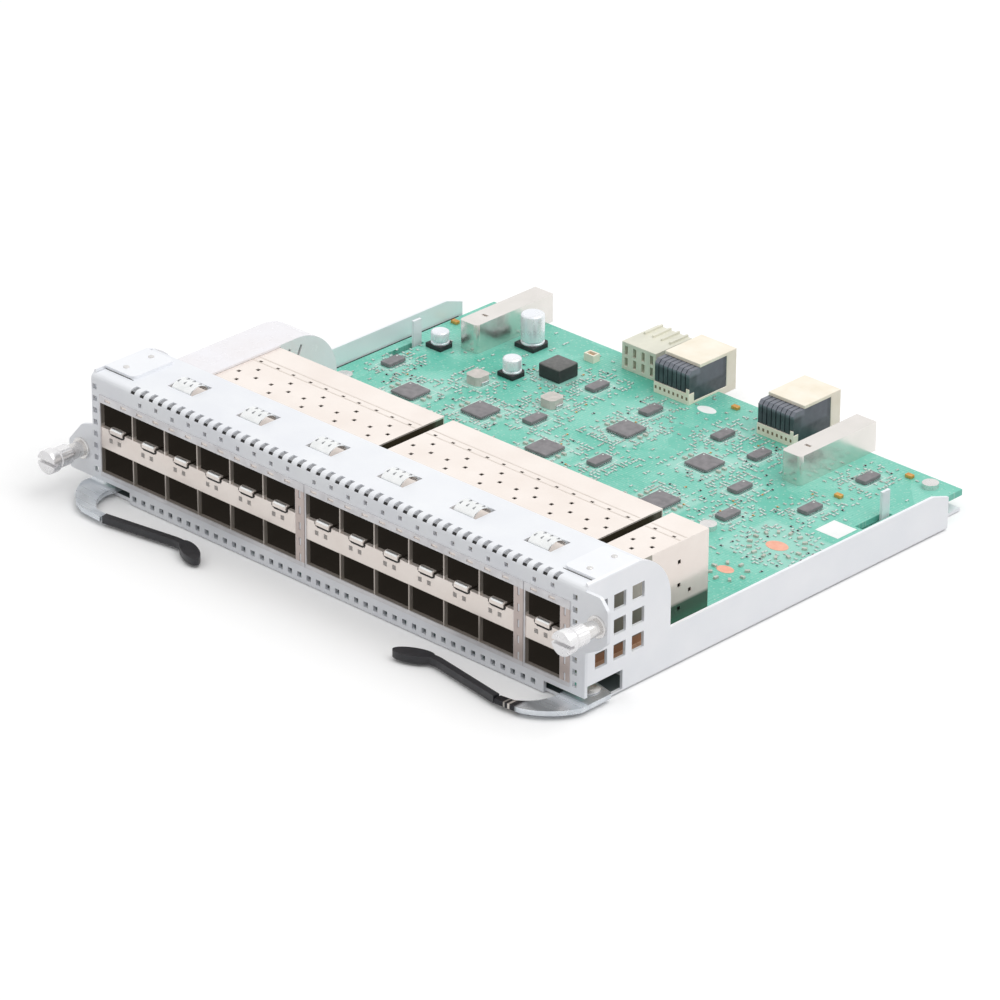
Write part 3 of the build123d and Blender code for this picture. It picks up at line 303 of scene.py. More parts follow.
class EffectShelf:
    """Builds each shared effect once and places it in materials."""

    def __init__(self) -> None:
        """Starts with no group built."""
        self.makers: dict[Effect, Callable[[bpy.types.NodeTree], None]] = {
            Effect.MOTTLE: self.build_mottle,
            Effect.TWO_TONE: self.build_two_tone,
            Effect.GRAIN: self.build_grain,
            Effect.BRUSHED: self.build_brushed,
            Effect.INSIDE: self.build_inside,
        }

    @staticmethod
    def sockets(tree: bpy.types.NodeTree, inputs: dict[str, str], outputs: dict[str, str]) -> tuple:
        """Makes a group's sockets and its input and output nodes.

        Args:
            tree: The group's tree.
            inputs: Socket type of each input by name.
            outputs: Socket type of each output by name.

        Returns:
            A sheet for the tree, the group's input node and its output node.
        """
        for name, kind in inputs.items():
            tree.interface.new_socket(name, in_out="INPUT", socket_type=f"NodeSocket{kind}")
        for name, kind in outputs.items():
            tree.interface.new_socket(name, in_out="OUTPUT", socket_type=f"NodeSocket{kind}")
        return NodeSheet(tree), tree.nodes.new("NodeGroupInput"), tree.nodes.new("NodeGroupOutput")

    @staticmethod
    def noise(sheet: NodeSheet, point: object, scale: object, detail: float) -> object:
        """Noise over Object coordinates.

        Args:
            sheet: Sheet of the tree that gets the node.
            point: Socket with the point.
            scale: Socket or number, in waves to the metre.
            detail: Octaves of the noise.

        Returns:
            The noise value's socket.
        """
        node = sheet.add("TexNoise")
        sheet.feed(point, node.inputs["Vector"])
        sheet.feed(scale, node.inputs["Scale"])
        node.inputs["Detail"].default_value = detail
        return node.outputs[0]

    def build_mottle(self, tree: bpy.types.NodeTree) -> None:
        """A value that wanders between two levels over the surface."""
        inputs = {"Scale": "Float", "Low": "Float", "High": "Float"}
        sheet, entry, result = self.sockets(tree, inputs, {"Value": "Float"})
        noise = self.noise(sheet, sheet.object_point(), entry.outputs["Scale"], 3.0)
        level = sheet.span(noise, 0.32, 0.68, entry.outputs["Low"], entry.outputs["High"])
        sheet.join(level, result.inputs["Value"])

    def build_two_tone(self, tree: bpy.types.NodeTree) -> None:
        """A colour that wanders between two tones over the surface."""
        inputs = {"First": "Color", "Second": "Color", "Scale": "Float"}
        sheet, entry, result = self.sockets(tree, inputs, {"Color": "Color"})
        noise = self.noise(sheet, sheet.object_point(), entry.outputs["Scale"], 4.0)
        share = sheet.span(noise, 0.3, 0.7, 0.0, 1.0)
        colour = sheet.mix(share, entry.outputs["First"], entry.outputs["Second"])
        sheet.join(colour, result.inputs["Color"])

    def build_grain(self, tree: bpy.types.NodeTree) -> None:
        """A fine pebbled normal, as on moulded plastic or coated sheet."""
        inputs = {"Scale": "Float", "Strength": "Float", "Distance": "Float"}
        sheet, entry, result = self.sockets(tree, inputs, {"Normal": "Vector"})
        noise = self.noise(sheet, sheet.object_point(), entry.outputs["Scale"], 2.0)
        bump = sheet.add("Bump")
        sheet.join(entry.outputs["Strength"], bump.inputs["Strength"])
        sheet.join(entry.outputs["Distance"], bump.inputs["Distance"])
        sheet.join(noise, bump.inputs["Height"])
        sheet.join(bump.outputs[0], result.inputs["Normal"])

    def build_brushed(self, tree: bpy.types.NodeTree) -> None:
        """A value in long fine streaks across the card, as rolled or brushed sheet has."""
        inputs = {"Scale": "Float", "Low": "Float", "High": "Float"}
        sheet, entry, result = self.sockets(tree, inputs, {"Value": "Float"})
        stretch = sheet.add("Mapping")
        stretch.inputs["Scale"].default_value = (0.04, 1.0, 1.0)
        sheet.join(sheet.object_point(), stretch.inputs["Vector"])
        noise = self.noise(sheet, stretch.outputs[0], entry.outputs["Scale"], 2.0)
        level = sheet.span(noise, 0.3, 0.7, entry.outputs["Low"], entry.outputs["High"])
        sheet.join(level, result.inputs["Value"])

    def build_inside(self, tree: bpy.types.NodeTree) -> None:
        """A mask that is 1 inside a box and falls to 0 over a soft rim at its faces."""
        inputs = {"Centre": "Vector", "Half": "Vector", "Rim": "Float"}
        sheet, entry, result = self.sockets(tree, inputs, {"Mask": "Float"})
        point, centre = sheet.object_point(), entry.outputs["Centre"]
        offset = sheet.math("SUBTRACT", point, centre, kind="VectorMath")
        reach = sheet.math("ABSOLUTE", offset, kind="VectorMath")
        depth = sheet.math("SUBTRACT", entry.outputs["Half"], reach, kind="VectorMath")
        parts = sheet.add("SeparateXYZ")
        sheet.join(depth, parts.inputs[0])
        nearest = sheet.math("MINIMUM", parts.outputs[0], parts.outputs[1])
        nearest = sheet.math("MINIMUM", nearest, parts.outputs[2])
        share = sheet.math("DIVIDE", nearest, entry.outputs["Rim"])
        clamped = sheet.math("MAXIMUM", sheet.math("MINIMUM", share, 1.0), 0.0)
        sheet.join(clamped, result.inputs["Mask"])

    def place(self, sheet: NodeSheet, effect: Effect, **values: object) -> bpy.types.NodeSocket:
        """Places an effect in a material.

        Args:
            sheet: The material's sheet.
            effect: The effect to place.
            **values: Plain values or sockets for the effect's inputs, by lower-case name.

        Returns:
            The effect's first output socket.
        """
        tree = bpy.data.node_groups.get(effect.value)
        if tree is None:
            tree = bpy.data.node_groups.new(effect.value, "ShaderNodeTree")
            self.makers[effect](tree)
        node = sheet.tree.nodes.new("ShaderNodeGroup")
        node.node_tree = tree
        for name, value in values.items():
            sheet.feed(value, node.inputs[name.capitalize()])
        return node.outputs[0]


EFFECTS = EffectShelf()


@dataclass(frozen=True)
class Shade:
    """Box, in millimetres, inside which a finish takes another colour over a soft rim."""

    low: Point
    high: Point
    rim: float
    colour: Colour
    glow: float = 0.0

    def mask(self, sheet: NodeSheet) -> bpy.types.NodeSocket:
        """Socket of the shade's mask."""
        low, high = Vector(self.low), Vector(self.high)
        return EFFECTS.place(
            sheet,
            Effect.INSIDE,
            centre=(low + high) / 2 * METRES,
            half=(high - low) / 2 * METRES,
            rim=self.rim * METRES,
        )


@dataclass(frozen=True)
class Finish:
    """Opaque finish with two wandering tones, varied gloss and a fine grain."""

    name: str
    first: Colour
    second: Colour
    metallic: float = 0.0
    rough_low: float = 0.4
    rough_high: float = 0.5
    tone_scale: float = 60.0
    gloss_scale: float = 300.0
    grain_scale: float = 4000.0
    grain_strength: float = 0.15
    grain_depth: float = 0.00005
    brushed: bool = False
    shades: tuple[Shade, ...] = ()

    def colour(self, sheet: NodeSheet) -> bpy.types.NodeSocket:
        """Base colour's socket."""
        return EFFECTS.place(
            sheet, Effect.TWO_TONE, first=self.first, second=self.second, scale=self.tone_scale
        )

    def shaded(self, sheet: NodeSheet, shader: bpy.types.Node) -> bpy.types.NodeSocket:
        """Base colour with the shades laid over it, and the painted glow, an emission, of shades that
        have it.

        Args:
            sheet: The material's sheet.
            shader: The material's Principled shader.

        Returns:
            The shaded colour's socket.
        """
        tone = self.colour(sheet)
        for shade in self.shades:
            mask = shade.mask(sheet)
            tone = sheet.mix(mask, tone, shade.colour)
            # Emission that paints a faint glow where no lamp is.
            if shade.glow:
                light = sheet.mix(mask, Tones.NO_LIGHT, Tones.WARM_GLOW)
                sheet.join(light, shader.inputs["Emission Color"])
                shader.inputs["Emission Strength"].default_value = shade.glow
        return tone

    def dress(self, sheet: NodeSheet, shader: bpy.types.Node) -> None:
        """Adds what a particular finish has beyond the common nodes.

        Args:
            sheet: The material's sheet.
            shader: The material's Principled shader.
        """

    def material(self) -> bpy.types.Material:
        """The finish's material, built on its first use."""
        known = bpy.data.materials.get(self.name)
        if known is not None:
            return known
        made = bpy.data.materials.new(self.name)
        made.use_nodes = True
        made.diffuse_color = self.first
        sheet = NodeSheet(made.node_tree)
        shader = made.node_tree.nodes["Principled BSDF"]
        shader.inputs["Metallic"].default_value = self.metallic
        sheet.join(self.shaded(sheet, shader), shader.inputs["Base Color"])
        effect = Effect.BRUSHED if self.brushed else Effect.MOTTLE
        gloss = EFFECTS.place(
            sheet, effect, scale=self.gloss_scale, low=self.rough_low, high=self.rough_high
        )
        sheet.join(gloss, shader.inputs["Roughness"])
        grain = EFFECTS.place(
            sheet,
            Effect.GRAIN,
            scale=self.grain_scale,
            strength=self.grain_strength,
            distance=self.grain_depth,
        )
        sheet.join(grain, shader.inputs["Normal"])
        self.dress(sheet, shader)
        return made


@dataclass(frozen=True)
class ClearFinish(Finish):
    """Thin moulded plastic that lets what lies behind it show through."""

    alpha_low: float = 0.5
    alpha_high: float = 0.6

    def dress(self, sheet: NodeSheet, shader: bpy.types.Node) -> None:
        """Sets the see-through share.

        Args:
            sheet: The material's sheet.
            shader: The material's Principled shader.
        """
        cover = EFFECTS.place(
            sheet, Effect.MOTTLE, scale=self.tone_scale, low=self.alpha_low, high=self.alpha_high
        )
        sheet.join(cover, shader.inputs["Alpha"])


@dataclass(frozen=True)
class BoardFinish(Finish):
    """Green solder mask over copper: pours, straight traces in square fields and via dots."""

    pour: Colour = (0.1, 0.5, 0.4, 1.0)
    field_size: float = 13.0
    trace_pitch: float = 1.1
    via_pitch: float = 2.4

    def traces(self, sheet: NodeSheet, direction: str) -> bpy.types.NodeSocket:
        """Fine parallel lines.

        Args:
            sheet: The material's sheet.
            direction: Axis that the lines are stacked along, X or Y.

        Returns:
            A value that is 1 on the lines and 0 between them.
        """
        wave = sheet.add("TexWave", wave_type="BANDS", bands_direction=direction)
        wave.inputs["Scale"].default_value = 0.314 / (self.trace_pitch * METRES)
        wave.inputs["Distortion"].default_value = 0.0
        sheet.join(sheet.object_point(), wave.inputs["Vector"])
        return sheet.math("GREATER_THAN", wave.outputs["Fac"], 0.62)

    def colour(self, sheet: NodeSheet) -> bpy.types.NodeSocket:
        """Base colour's socket: mask tone, pours, traces and vias."""
        plain = super().colour(sheet)
        fields = sheet.add("TexVoronoi", distance="CHEBYCHEV", voronoi_dimensions="2D")
        fields.inputs["Scale"].default_value = 1 / (self.field_size * METRES)
        sheet.join(sheet.object_point(), fields.inputs["Vector"])
        parts = sheet.add("SeparateColor")
        sheet.join(fields.outputs["Color"], parts.inputs[0])
        pours = sheet.math("GREATER_THAN", parts.outputs[0], 0.62)
        toned = sheet.mix(sheet.math("MULTIPLY", pours, 0.3), plain, self.pour)
        across = sheet.math("GREATER_THAN", parts.outputs[1], 0.5)
        busy = sheet.math("GREATER_THAN", parts.outputs[2], 0.45)
        first = sheet.math("MULTIPLY", self.traces(sheet, "X"), across)
        second = sheet.math(
            "MULTIPLY", self.traces(sheet, "Y"), sheet.math("SUBTRACT", 1.0, across)
        )
        lines = sheet.math("MULTIPLY", sheet.math("ADD", first, second), busy)
        lined = sheet.mix(sheet.math("MULTIPLY", lines, 0.2), toned, Tones.TRACE)
        vias = sheet.add("TexVoronoi", voronoi_dimensions="2D")
        vias.inputs["Scale"].default_value = 1 / (self.via_pitch * METRES)
        sheet.join(sheet.object_point(), vias.inputs["Vector"])
        dots = sheet.math("LESS_THAN", vias.outputs["Distance"], 0.13)
        return sheet.mix(sheet.math("MULTIPLY", dots, 0.4), lined, Tones.VIA)


class Finishes:
    """The finishes of the card, by part."""

    # The tray's shades are painted shade on its floor and walls at the lever notches.
    TRAY = Finish("tray_steel_finish", srgb(246, 247, 250), srgb(240, 242, 246), metallic=0.25,
                  rough_low=0.34, rough_high=0.46, gloss_scale=500.0, brushed=True,
                  shades=tuple(Shade((low, -86.3, 0.8), (low + 18.1, -66.0, 7.6), 0.1, Tones.NOTCH_SHADE)
                               for low in (84.0, -102.1)))
    FACE = Finish("face_steel_finish", srgb(240, 242, 245), srgb(233, 235, 240), metallic=0.2,
                  rough_low=0.36, rough_high=0.48, gloss_scale=500.0, brushed=True)
    GASKET = Finish("gasket_finish", srgb(226, 225, 227), srgb(210, 208, 210), metallic=0.4,
                    rough_low=0.28, rough_high=0.42, tone_scale=300.0)
    SEAM = Finish("folded_seam_finish", srgb(228, 218, 209), srgb(216, 206, 197), metallic=0.5,
                  rough_low=0.3, rough_high=0.42, tone_scale=300.0)
    SPRING = Finish("spring_clip_finish", srgb(250, 251, 251), srgb(238, 240, 240), metallic=0.7,
                    rough_low=0.16, rough_high=0.28, tone_scale=400.0)
    BOARD = BoardFinish("solder_mask_finish", srgb(136, 210, 192), srgb(84, 186, 163),
                        rough_low=0.24, rough_high=0.4, tone_scale=36.0, pour=srgb(66, 176, 153),
                        grain_strength=0.3,
                        shades=(
                            # Painted brown bounce light on the board behind the right vents; it also
                            # covers the board's edge there.
                            Shade((93.5, -79.0, 5.0), (98.0, -49.5, 7.0), 0.3, Tones.PAINTED_BROWN_BOUNCE),
                            # Painted shade on the board in the gaps between the cages.
                            *(Shade((low, -87.0, 5.0), (low + 3.8, -25.5, 7.0), 0.3, Tones.BOARD_GAP)
                              for low in (-13.8, 75.7)),
                        ))
    CHIP = Finish("chip_mould_finish", srgb(136, 132, 135), srgb(114, 111, 114), rough_low=0.34,
                  rough_high=0.5, tone_scale=500.0, grain_scale=9000.0)
    MODULE = Finish("module_ferrite_finish", srgb(108, 107, 105), srgb(86, 87, 86), rough_low=0.4,
                    rough_high=0.55, tone_scale=700.0)
    INDUCTOR = Finish("inductor_finish", srgb(214, 206, 201), srgb(190, 187, 180), rough_low=0.45,
                      rough_high=0.6, tone_scale=500.0)
    CAN = Finish("can_aluminium_finish", srgb(246, 248, 251), srgb(236, 240, 246), metallic=0.4,
                 rough_low=0.24, rough_high=0.3, tone_scale=60.0)
    CAN_BASE = Finish("can_base_finish", srgb(44, 44, 46), srgb(30, 30, 32), rough_low=0.45,
                      rough_high=0.6, tone_scale=600.0)
    TIN = Finish("tinned_lead_finish", srgb(225, 227, 228), srgb(196, 199, 201), metallic=0.85,
                 rough_low=0.2, rough_high=0.4, tone_scale=900.0)
    CERAMIC = Finish("ceramic_part_finish", srgb(206, 209, 200), srgb(176, 180, 170),
                     rough_low=0.4, rough_high=0.55, tone_scale=900.0)
    RESISTOR = Finish("resistor_finish", srgb(58, 58, 60), srgb(38, 40, 42), rough_low=0.35,
                      rough_high=0.5, tone_scale=900.0)
    PALE_PART = Finish("pale_part_finish", srgb(226, 236, 230), srgb(202, 218, 210),
                       rough_low=0.4, rough_high=0.55, tone_scale=900.0)
    GOLD = Finish("gold_part_finish", srgb(226, 178, 96), srgb(205, 140, 62), metallic=0.4,
                  rough_low=0.3, rough_high=0.45, tone_scale=800.0)
    SILK = Finish("silkscreen_finish", srgb(226, 240, 234), srgb(205, 228, 220), rough_low=0.5,
                  rough_high=0.62, tone_scale=700.0)
    LABEL = Finish("bare_label_finish", srgb(247, 248, 247), srgb(239, 241, 240), rough_low=0.5,
                   rough_high=0.6, tone_scale=200.0)
    COPPER = Finish("copper_pad_finish", srgb(247, 186, 162), srgb(240, 168, 142), metallic=0.2,
                    rough_low=0.34, rough_high=0.5, tone_scale=500.0)
    IVORY = Finish("ivory_housing_finish", srgb(250, 243, 228), srgb(241, 231, 211),
                   rough_low=0.38, rough_high=0.5, tone_scale=150.0)
    POWER = Finish("power_housing_finish", srgb(232, 230, 214), srgb(216, 215, 200),
                   rough_low=0.38, rough_high=0.5, tone_scale=150.0)
    WAFER = Finish("wafer_finish", srgb(76, 84, 90), srgb(52, 60, 66), rough_low=0.3,
                   rough_high=0.44, tone_scale=400.0)
    CONNECTOR = Finish("host_connector_finish", srgb(26, 25, 25), srgb(16, 16, 16),
                       rough_low=0.4, rough_high=0.55, tone_scale=400.0)
    NICKEL = Finish("guide_nickel_finish", srgb(238, 233, 229), srgb(228, 224, 219),
                    metallic=0.85, rough_low=0.17, rough_high=0.25, tone_scale=90.0)
    STEEL = Finish("turned_steel_finish", srgb(232, 230, 228), srgb(215, 213, 212),
                   metallic=0.75, rough_low=0.2, rough_high=0.32, tone_scale=250.0)
    SCREW = Finish("knob_steel_finish", srgb(246, 245, 245), srgb(232, 231, 233),
                   metallic=0.5, rough_low=0.2, rough_high=0.32, tone_scale=250.0)
    LEVER = Finish("lever_steel_finish", srgb(234, 238, 242), srgb(212, 218, 224),
                   metallic=0.6, rough_low=0.2, rough_high=0.34, tone_scale=180.0, brushed=True)
    # Right lever: its shades are painted reflections, a dark stretch with two light bands.
    LEVER_DARK = Finish(
        "lever_polished_finish", srgb(234, 238, 242), srgb(200, 206, 212), metallic=0.7,
        rough_low=0.2, rough_high=0.34, tone_scale=180.0, brushed=True,
        shades=tuple(
            Shade((low, -110.0, 0.0), (high, -96.0, 6.0), rim, tone)
            for low, high, rim, tone in (
                (78.0, 91.5, 1.2, Tones.LEVER_BLACK), (86.2, 87.0, 0.2, Tones.FIRST_REFLECTED_BAND),
                (87.8, 88.8, 0.2, Tones.SECOND_REFLECTED_BAND),
            )
        ),
    )
    GRIP = Finish("grip_finish", srgb(44, 44, 48), srgb(32, 32, 36), rough_low=0.34,
                  rough_high=0.48, tone_scale=250.0, grain_scale=7000.0, grain_strength=0.3)
    GUIDE = ClearFinish("air_guide_finish", srgb(253, 250, 252), srgb(247, 246, 251),
                        rough_low=0.18, rough_high=0.3, tone_scale=60.0, alpha_low=0.84,
                        alpha_high=0.93)
    PIPE = ClearFinish("light_pipe_finish", srgb(196, 190, 184), srgb(176, 170, 166),
                       rough_low=0.15, rough_high=0.25, alpha_low=0.75, alpha_high=0.85)
    # Grey of the painted-shade floors in the fold's slots, also worn by the clip dashes.
    LINER = Finish("slot_liner_finish", srgb(158, 159, 162), srgb(140, 141, 144), rough_low=0.5,
                   rough_high=0.65, tone_scale=300.0)
    BROWN = Finish("foot_hole_finish", srgb(134, 112, 84), srgb(112, 92, 68), rough_low=0.5,
                   rough_high=0.65, tone_scale=500.0)
    DARK = Finish("shadow_gap_finish", srgb(30, 28, 27), srgb(20, 19, 18), rough_low=0.6,
                  rough_high=0.75, tone_scale=400.0)


class Forge:
    """Builds one mesh piece out of bmesh operators, in millimetres."""

    def __init__(self, name: str, finish: Finish) -> None:
        """Starts an empty piece.

        Args:
            name: Name of the finished piece.
            finish: Finish that it wears.
        """
        self.name = name
        self.finish = finish
        self.mesh = bmesh.new()

    def block(self, box: Box, bevel: float = 0.0, segments: int = 2) -> None:
        """Adds an upright block.

        Args:
            box: Its box.
            bevel: Width of the rounding on all its edges.
            segments: Facets of the rounding.
        """
        matrix = Matrix.Translation(box.centre) @ Matrix.Diagonal((*box.size, 1.0))
        made = bmesh.ops.create_cube(self.mesh, size=1.0, matrix=matrix)
        if bevel > 0:
            self.round_edges(self.edges_of(made["verts"]), bevel, segments)

    @staticmethod
    def edges_of(verts: Iterable[bmesh.types.BMVert]) -> list[bmesh.types.BMEdge]:
        """Edges between the given points."""
        return list({edge for vert in verts for edge in vert.link_edges})

    def round_edges(self, edges: Sequence[bmesh.types.BMEdge], width: float, segments: int) -> None:
        """Rounds edges.

        Args:
            edges: The edges.
            width: Offset of the rounding.
            segments: Facets of the rounding.
        """
        bmesh.ops.bevel(
            self.mesh,
            geom=edges,
            offset=width,
            offset_type="OFFSET",
            segments=segments,
            profile=0.5,
            affect="EDGES",
            clamp_overlap=True,
            material=-1,
        )

    def disc(self, centre: Point, radius: float, sheet: float,
             segments: int) -> list[bmesh.types.BMVert]:
        """Adds a thin upright disc.

        Args:
            centre: Middle of the disc.
            radius: Its radius.
            sheet: Its thickness.
            segments: Facets round it.

        Returns:
            Its points.
        """
        made = bmesh.ops.create_cone(
            self.mesh, cap_ends=True, segments=segments, radius1=radius, radius2=radius,
            depth=sheet, matrix=Matrix.Translation(centre),
        )
        return made["verts"]

    def lathe(self, profile: Sequence[tuple[float, float]], centre: Point, axis: str = "Z",
              steps: int = 48) -> None:
        """Turns a profile about an axis into a closed solid.

        Args:
            profile: Points as radius and distance along the axis.
            centre: Point of the axis that the distances are counted from.
            axis: Z, or Y for a solid that lies towards the rear.
            steps: Facets round it.
        """
        along = Vector((0, 1, 0)) if axis == "Y" else Vector((0, 0, 1))
        verts = [self.mesh.verts.new(Vector((radius, 0, 0)) + along * place + Vector(centre))
                 for radius, place in profile]
        edges = [self.mesh.edges.new(pair) for pair in zip(verts, verts[1:])]
        bmesh.ops.spin(
            self.mesh, geom=[*verts, *edges], cent=centre, axis=along, angle=math.tau,
            steps=steps, use_merge=True,
        )
        bmesh.ops.remove_doubles(self.mesh, verts=self.mesh.verts, dist=1e-4)
        bmesh.ops.recalc_face_normals(self.mesh, faces=self.mesh.faces)

    def prism(self, points: Sequence[Point], shift: Point, bevel: float = 0.0) -> None:
        """Adds a solid swept straight from a flat outline.

        Args:
            points: Outline in order.
            shift: Way and length of the sweep.
            bevel: Rounding of the outline's own edges.
        """
        verts = [self.mesh.verts.new(point) for point in points]
        grown = bmesh.ops.extrude_face_region(self.mesh, geom=[self.mesh.faces.new(verts)])
        moved = [item for item in grown["geom"] if isinstance(item, bmesh.types.BMVert)]
        bmesh.ops.translate(self.mesh, verts=moved, vec=shift)
        bmesh.ops.recalc_face_normals(self.mesh, faces=self.mesh.faces)
        if bevel > 0:
            first = set(verts)
            rim = [edge for edge in self.edges_of(verts) if set(edge.verts) <= first]
            self.round_edges(rim, bevel, 2)

    def plate(self, outline: Sequence[tuple[float, float]], bottom: float, thickness: float,
              bevel: float = 0.0, segments: int = 2) -> None:
        """Adds a flat plate from its plan outline.

        Args:
            outline: Plan points in order.
            bottom: Height of its underside.
            thickness: Its thickness.
            bevel: Rounding of its upper and lower edges.
            segments: Facets of the rounding.
        """
        verts = [self.mesh.verts.new((x, y, bottom)) for x, y in outline]
        face = self.mesh.faces.new(verts)
        grown = bmesh.ops.extrude_face_region(self.mesh, geom=[face])
        top = [item for item in grown["geom"] if isinstance(item, bmesh.types.BMVert)]
        bmesh.ops.translate(self.mesh, verts=top, vec=(0, 0, thickness))
        bmesh.ops.recalc_face_normals(self.mesh, faces=self.mesh.faces)
        if bevel > 0:
            rims = [edge for edge in self.edges_of([*verts, *top])
                    if abs(edge.verts[0].co.z - edge.verts[1].co.z) < 1e-6]
            self.round_edges(rims, bevel, segments)

    def finish_piece(self, body: Body, slot: Optional[str] = None, replaces: Sequence[str] = (),
                     smooth: float = 0.0) -> bpy.types.Object:
        """Makes the object, dresses it and lets it ride.

        Args:
            body: Body that the piece moves with.
            slot: The record's material slot, if it has one; not used.
            replaces: CAD nodes that the piece stands for.
            smooth: Angle in degrees under which edges are shaded smooth, or 0 for flat.

        Returns:
            The finished object.
        """
        bmesh.ops.scale(self.mesh, vec=(METRES,) * 3, verts=self.mesh.verts)
        data = bpy.data.meshes.new(self.name)
        self.mesh.to_mesh(data)
        self.mesh.free()
        piece = new_object(self.name, data)
        data.materials.append(self.finish.material())
        if smooth > 0:
            for polygon in data.polygons:
                polygon.use_smooth = True
            data.set_sharp_from_angle(angle=math.radians(smooth))
        if replaces:
            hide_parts(*replaces)
        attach(piece, body.value)
        return piece


def new_object(name: str, data: bpy.types.ID) -> bpy.types.Object:
    """Makes an object and links it into the scene.

    Args:
        name: The object's name.
        data: Its mesh, camera or lamp.

    Returns:
        The object.
    """
    made = bpy.data.objects.new(name, data)
    bpy.context.scene.collection.objects.link(made)
    return made


def dress(node: str, finish: Finish) -> None:
    """Gives a CAD node its finish in every slot.

    Args:
        node: The node's name.
        finish: The finish that it wears.
    """
    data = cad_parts[node].data
    if not data.materials:
        data.materials.append(finish.material())
    for index in range(len(data.materials)):
        data.materials[index] = finish.material()


def soften(node: str, width: float, segments: int = 2) -> None:
    """Rounds the edges of a CAD node with modifiers, which leave its mesh as it is.

    Args:
        node: The node's name.
        width: Width of the rounding.
        segments: Facets of the rounding.
    """
    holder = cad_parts[node]
    holder.modifiers.new("weld", "WELD").merge_threshold = 1e-6
    rounding = holder.modifiers.new("rounding", "BEVEL")
    rounding.width = width * METRES
    rounding.segments = segments
    rounding.limit_method = "ANGLE"
    rounding.angle_limit = math.radians(50)


@dataclass
class Chassis:
    """Folded tray, faceplate with its top plate, rivets and contact clips."""

    slot_count: int = 45
    slot_pitch: float = 4.0
    slot_shift: float = 3.1
    slot_width: float = 1.76
    # Outlines, in Y and Z, of the painted-shade blocks in the fold's slots: grey floors, then dark
    # lower ends.
    slot_floor: tuple[tuple[float, float], ...] = (
        (-87.2, 37.82), (-86.75, 38.35), (-85.8, 38.7), (-84.62, 38.7), (-84.62, 38.02),
        (-86.4, 37.85),
    )
    slot_shade_end: tuple[tuple[float, float], ...] = (
        (-87.36, 37.82), (-87.12, 38.2), (-86.86, 38.46), (-86.9, 38.1), (-87.1, 37.85),
    )
    dash_count: int = 6
    dash_width: float = 0.35
    dash_length: float = 2.2
    dash_stagger: float = 0.7
    dash_sink: float = 0.02
    dash_foot: float = 0.4
    # Places and sizes of the painted shadow lines at the tabs and at the left rail's foot.
    tab_front: float = -82.4
    tab_reach: float = 13.5
    line_width: float = 0.3
    line_high: float = 0.03
    line_inset: float = 1.2
    rail_wall: float = 1.0
    foot_start: float = -24.0
    foot_end: float = 72.0
    foot_depth: float = 0.6
    foot_edge: float = 0.1
    rivet_dome: tuple[tuple[float, float], ...] = ((1.0, 0.0), (0.94, 0.5), (0.6, 0.88))

    def build(self) -> int:
        """Builds the chassis and returns the number of new pieces."""
        dress("base_tray", Finishes.TRAY)
        dress("faceplate", Finishes.FACE)
        dress("contact_clips", Finishes.SPRING)
        self.rivets()
        self.slot_liner()
        self.clip_dashes()
        self.painted_shadow_lines()
        return 5

    def slot_liner(self) -> None:
        """Painted shade in the slots that wrap over the fold: grey floor blocks and dark lower-end
        blocks.
        """
        floors = Forge("slot_shade_floors", Finishes.LINER)
        ends = Forge("slot_shade_ends", Finishes.DARK)
        half = self.slot_width / 2
        for slot in range(self.slot_count):
            x = self.slot_shift + (slot - (self.slot_count - 1) / 2) * self.slot_pitch - half
            floors.prism([(x, y, z) for y, z in self.slot_floor], (2 * half, 0, 0))
            ends.prism([(x, y, z) for y, z in self.slot_shade_end], (2 * half, 0, 0))
        floors.finish_piece(Body.CARD)
        ends.finish_piece(Body.CARD)

    def clip_dashes(self) -> None:
        """Short pressed dashes across the crown of each contact clip."""
        forge = Forge("clip_dashes", Finishes.LINER)
        for clip in island_boxes("contact_clips"):
            for dash in range(self.dash_count):
                x = clip.low.x + clip.size.x * (dash + 0.5) / self.dash_count
                y = clip.centre.y + (self.dash_stagger if dash % 2 else -self.dash_stagger)
                half = Vector((self.dash_width / 2, self.dash_length / 2, 0))
                low = Vector((x, y, clip.high.z - self.dash_foot)) - half
                forge.block(Box(low, Vector((x, y, clip.high.z - self.dash_sink)) + half))
        forge.finish_piece(Body.CARD)

    def painted_shadow_lines(self) -> None:
        """Painted shadow lines: thin dark blocks in front of the tray's tabs, and at the foot of the
        left rail.
        """
        forge = Forge("painted_shadow_lines", Finishes.DARK)
        tray, face = node_box("base_tray"), node_box("faceplate")
        for side in Side:
            ends = sorted((side.value * (tray.high.x - self.line_inset),
                           side.value * (tray.high.x - self.tab_reach)))
            low = Vector((ends[0], self.tab_front - self.line_width, face.high.z))
            forge.block(Box(low, Vector((ends[1], self.tab_front, face.high.z + self.line_high))))
        x, top = tray.low.x + self.rail_wall, node_box("circuit_board").high.z
        low = Vector((x, self.foot_start, top - self.foot_depth))
        forge.block(Box(low, Vector((x + self.foot_edge, self.foot_end, top - self.foot_edge))))
        forge.finish_piece(Body.CARD)

    def rivets(self) -> None:
        """Domed heads in place of the plain rivets."""
        forge = Forge("domed_rivets", Finishes.STEEL)
        for box in island_boxes("plate_rivets"):
            radius, height = box.size.x / 2, box.size.z
            dome = [(radius * share, height * rise) for share, rise in self.rivet_dome]
            seat = (box.centre.x, box.centre.y, box.low.z)
            forge.lathe([(0, 0), *dome, (0, height)], seat, steps=20)
        forge.finish_piece(Body.CARD, "rivet_metal", ["plate_rivets"], smooth=40)


